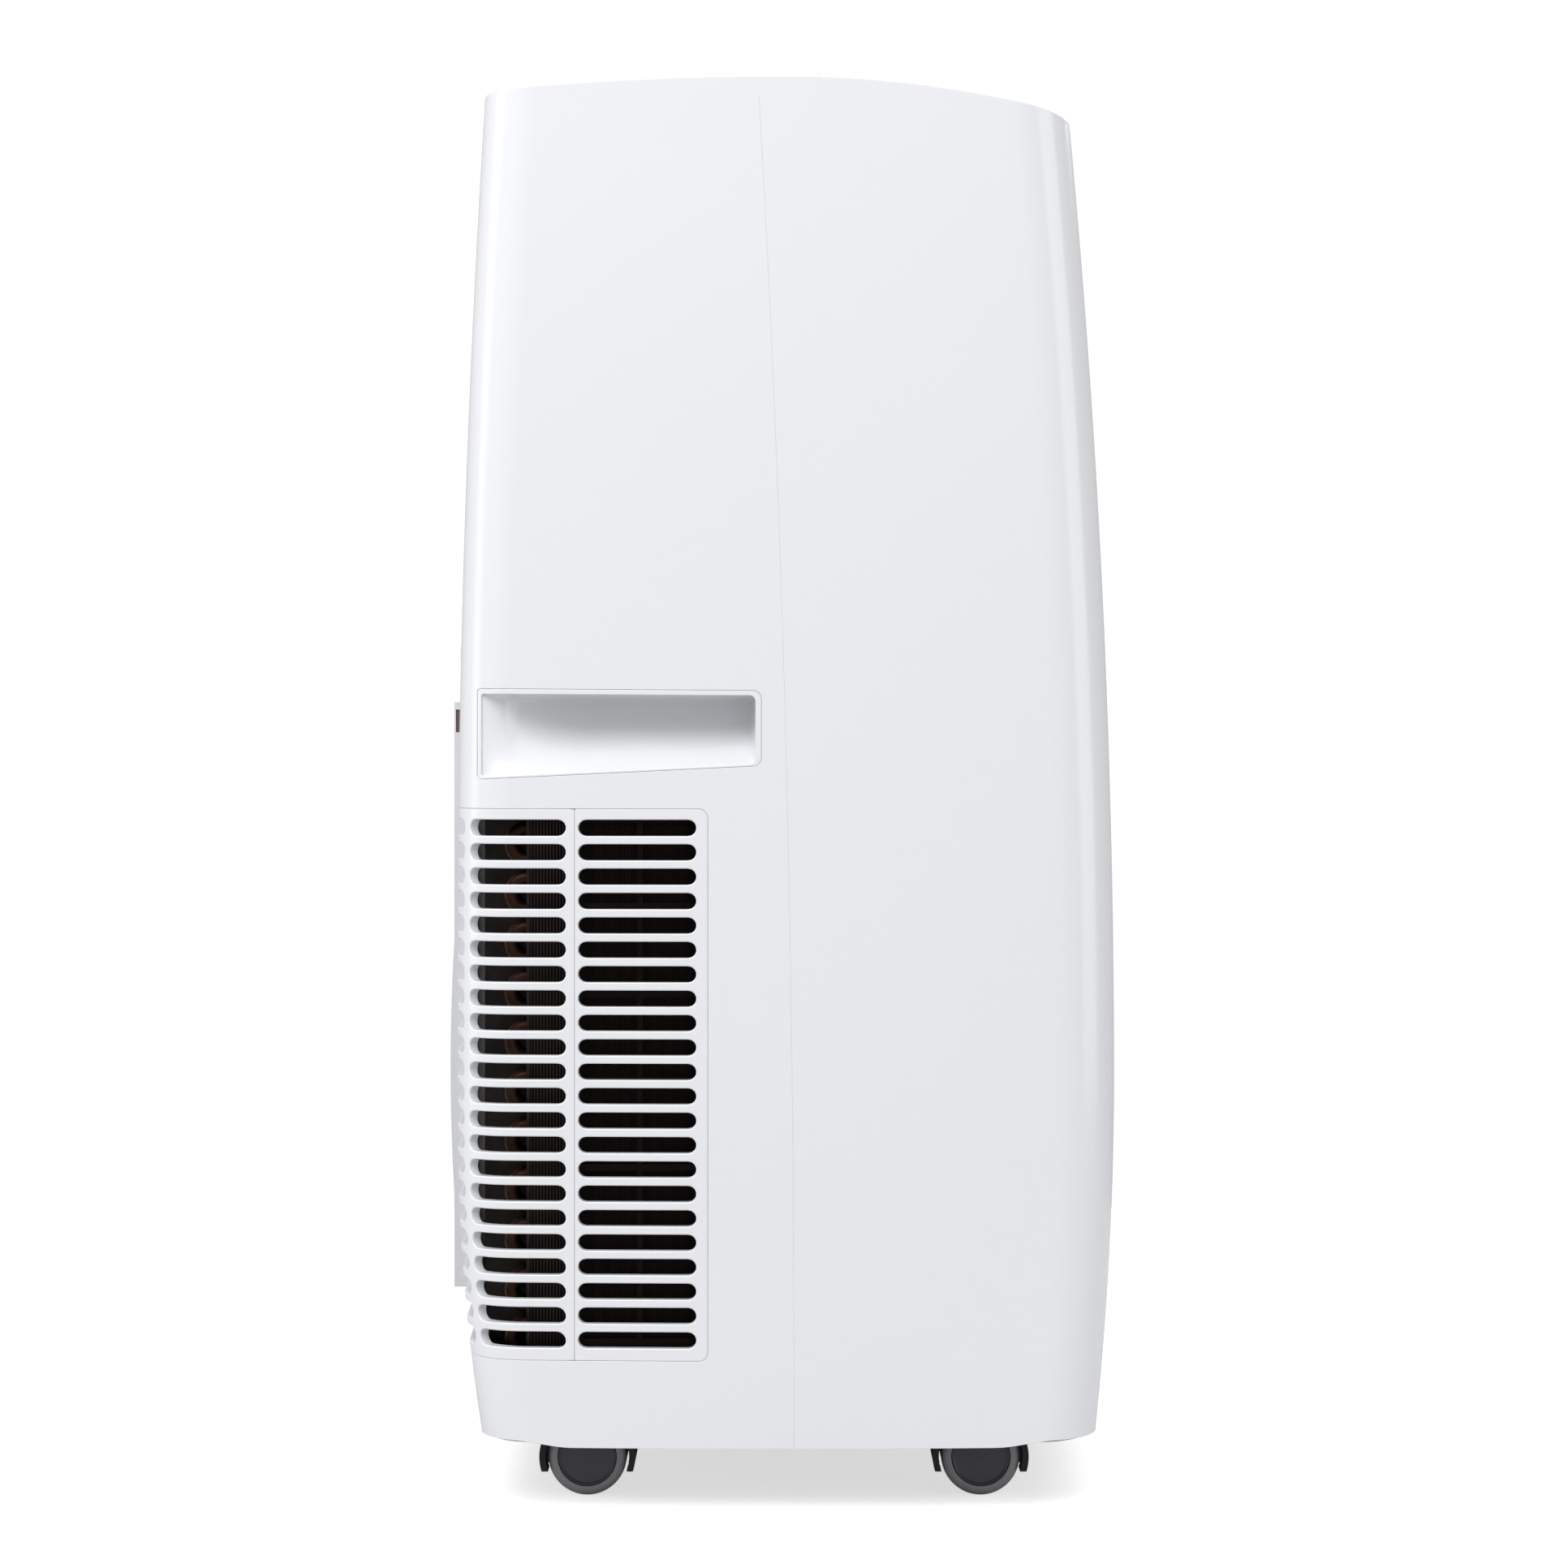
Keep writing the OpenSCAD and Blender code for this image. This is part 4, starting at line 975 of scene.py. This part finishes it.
# --- light ------------------------------------------------------------------------------------------
floor = bpy.data.meshes.new("floor")
floor.from_pydata([(0.95 * math.cos(math.pi * k / 48), 0.95 * math.sin(math.pi * k / 48), 0) for k in range(96)], [],
                  [tuple(range(96))])
pale = material("pale_floor", (0.5, 0.5, 0.505), (0.48, 0.48, 0.485), (0.6, 0.7), bump=0,
                Emission_Color=(1, 1, 1, 1))
glow = pale.node_tree.nodes.new("ShaderNodeMath")
glow.operation = "MULTIPLY"
glow.inputs[1].default_value = 0.66
path = pale.node_tree.nodes.new("ShaderNodeLightPath")
pale.node_tree.links.new(path.outputs["Is Camera Ray"], glow.inputs[0])
pale.node_tree.links.new(glow.outputs["Value"], pale.node_tree.nodes["Principled BSDF"].inputs["Emission Strength"])
floor.materials.append(pale)
floor = bpy.data.objects.new("floor", floor)
scene.collection.objects.link(floor)
floor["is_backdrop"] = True

scene.view_settings.view_transform = "Standard"
scene.view_settings.look = "None"


def studio():
    """A white backdrop for the eye; the light it gives is softer, brighter above and dimmer behind (+X)."""
    world = bpy.data.worlds.new("studio")
    world.use_nodes = True
    nodes, links = world.node_tree.nodes, world.node_tree.links
    coords = nodes.new("ShaderNodeTexCoord")
    split = nodes.new("ShaderNodeSeparateXYZ")
    links.new(coords.outputs["Generated"], split.inputs["Vector"])

    def ramp(axis, low, high, at_low, at_high):
        node = nodes.new("ShaderNodeMapRange")
        node.interpolation_type = "SMOOTHSTEP"
        for socket, value in (("From Min", low), ("From Max", high), ("To Min", at_low), ("To Max", at_high)):
            node.inputs[socket].default_value = value
        links.new(split.outputs[axis], node.inputs["Value"])
        return node.outputs["Result"]

    def times(a, b):
        node = nodes.new("ShaderNodeMath")
        node.operation = "MULTIPLY"
        links.new(a, node.inputs[0])
        links.new(b, node.inputs[1])
        return node.outputs["Value"]

    light = times(times(ramp("Z", -0.3, 0.9, 0.56, 0.92), ramp("X", 0.2, 0.7, 1.0, 0.8)),
                  ramp("Y", -0.9, 0.5, 0.95, 1.0))
    shine = nodes["Background"]
    links.new(light, shine.inputs["Strength"])
    shine.inputs["Color"].default_value = (0.99, 0.995, 1, 1)
    white = nodes.new("ShaderNodeBackground")
    white.inputs["Strength"].default_value = 1.05
    white.inputs["Color"].default_value = (1, 1, 1, 1)
    path = nodes.new("ShaderNodeLightPath")
    mix = nodes.new("ShaderNodeMixShader")
    links.new(path.outputs["Is Camera Ray"], mix.inputs["Fac"])
    links.new(shine.outputs["Background"], mix.inputs[1])
    links.new(white.outputs["Background"], mix.inputs[2])
    links.new(mix.outputs["Shader"], nodes["World Output"].inputs["Surface"])
    return world


def area_light(name, place, target, size, radiance):
    light = bpy.data.lights.new(name, "AREA")
    light.shape = "RECTANGLE"
    light.size, light.size_y = size
    light.energy = radiance * math.pi * size[0] * size[1]
    lamp = bpy.data.objects.new(name, light)
    scene.collection.objects.link(lamp)
    lamp.location = place
    lamp.rotation_euler = (Vector(place) - Vector(target)).to_track_quat("Z", "Y").to_euler()
    return lamp


scene.world = studio()
area_light("key", (-2.0, 1.1, 2.6), (0, 0, 0.5), (1.8, 1.8), 7.1)
area_light("fill", (2.4, -1.4, 2.2), (0, 0, 0.4), (1.8, 1.8), 4.0)
area_light("rear_strip", (-0.2, 2.6, 0.8), (0, 0, 0.4), (0.8, 1.8), 1.6)
area_light("front_strip", (-0.8, -3.0, 0.8), (0, 0, 0.4), (1.6, 1.8), 2.0)

for low_high in (cad_box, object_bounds()):
    json.dumps([list(corner) for corner in low_high]) + "\n"
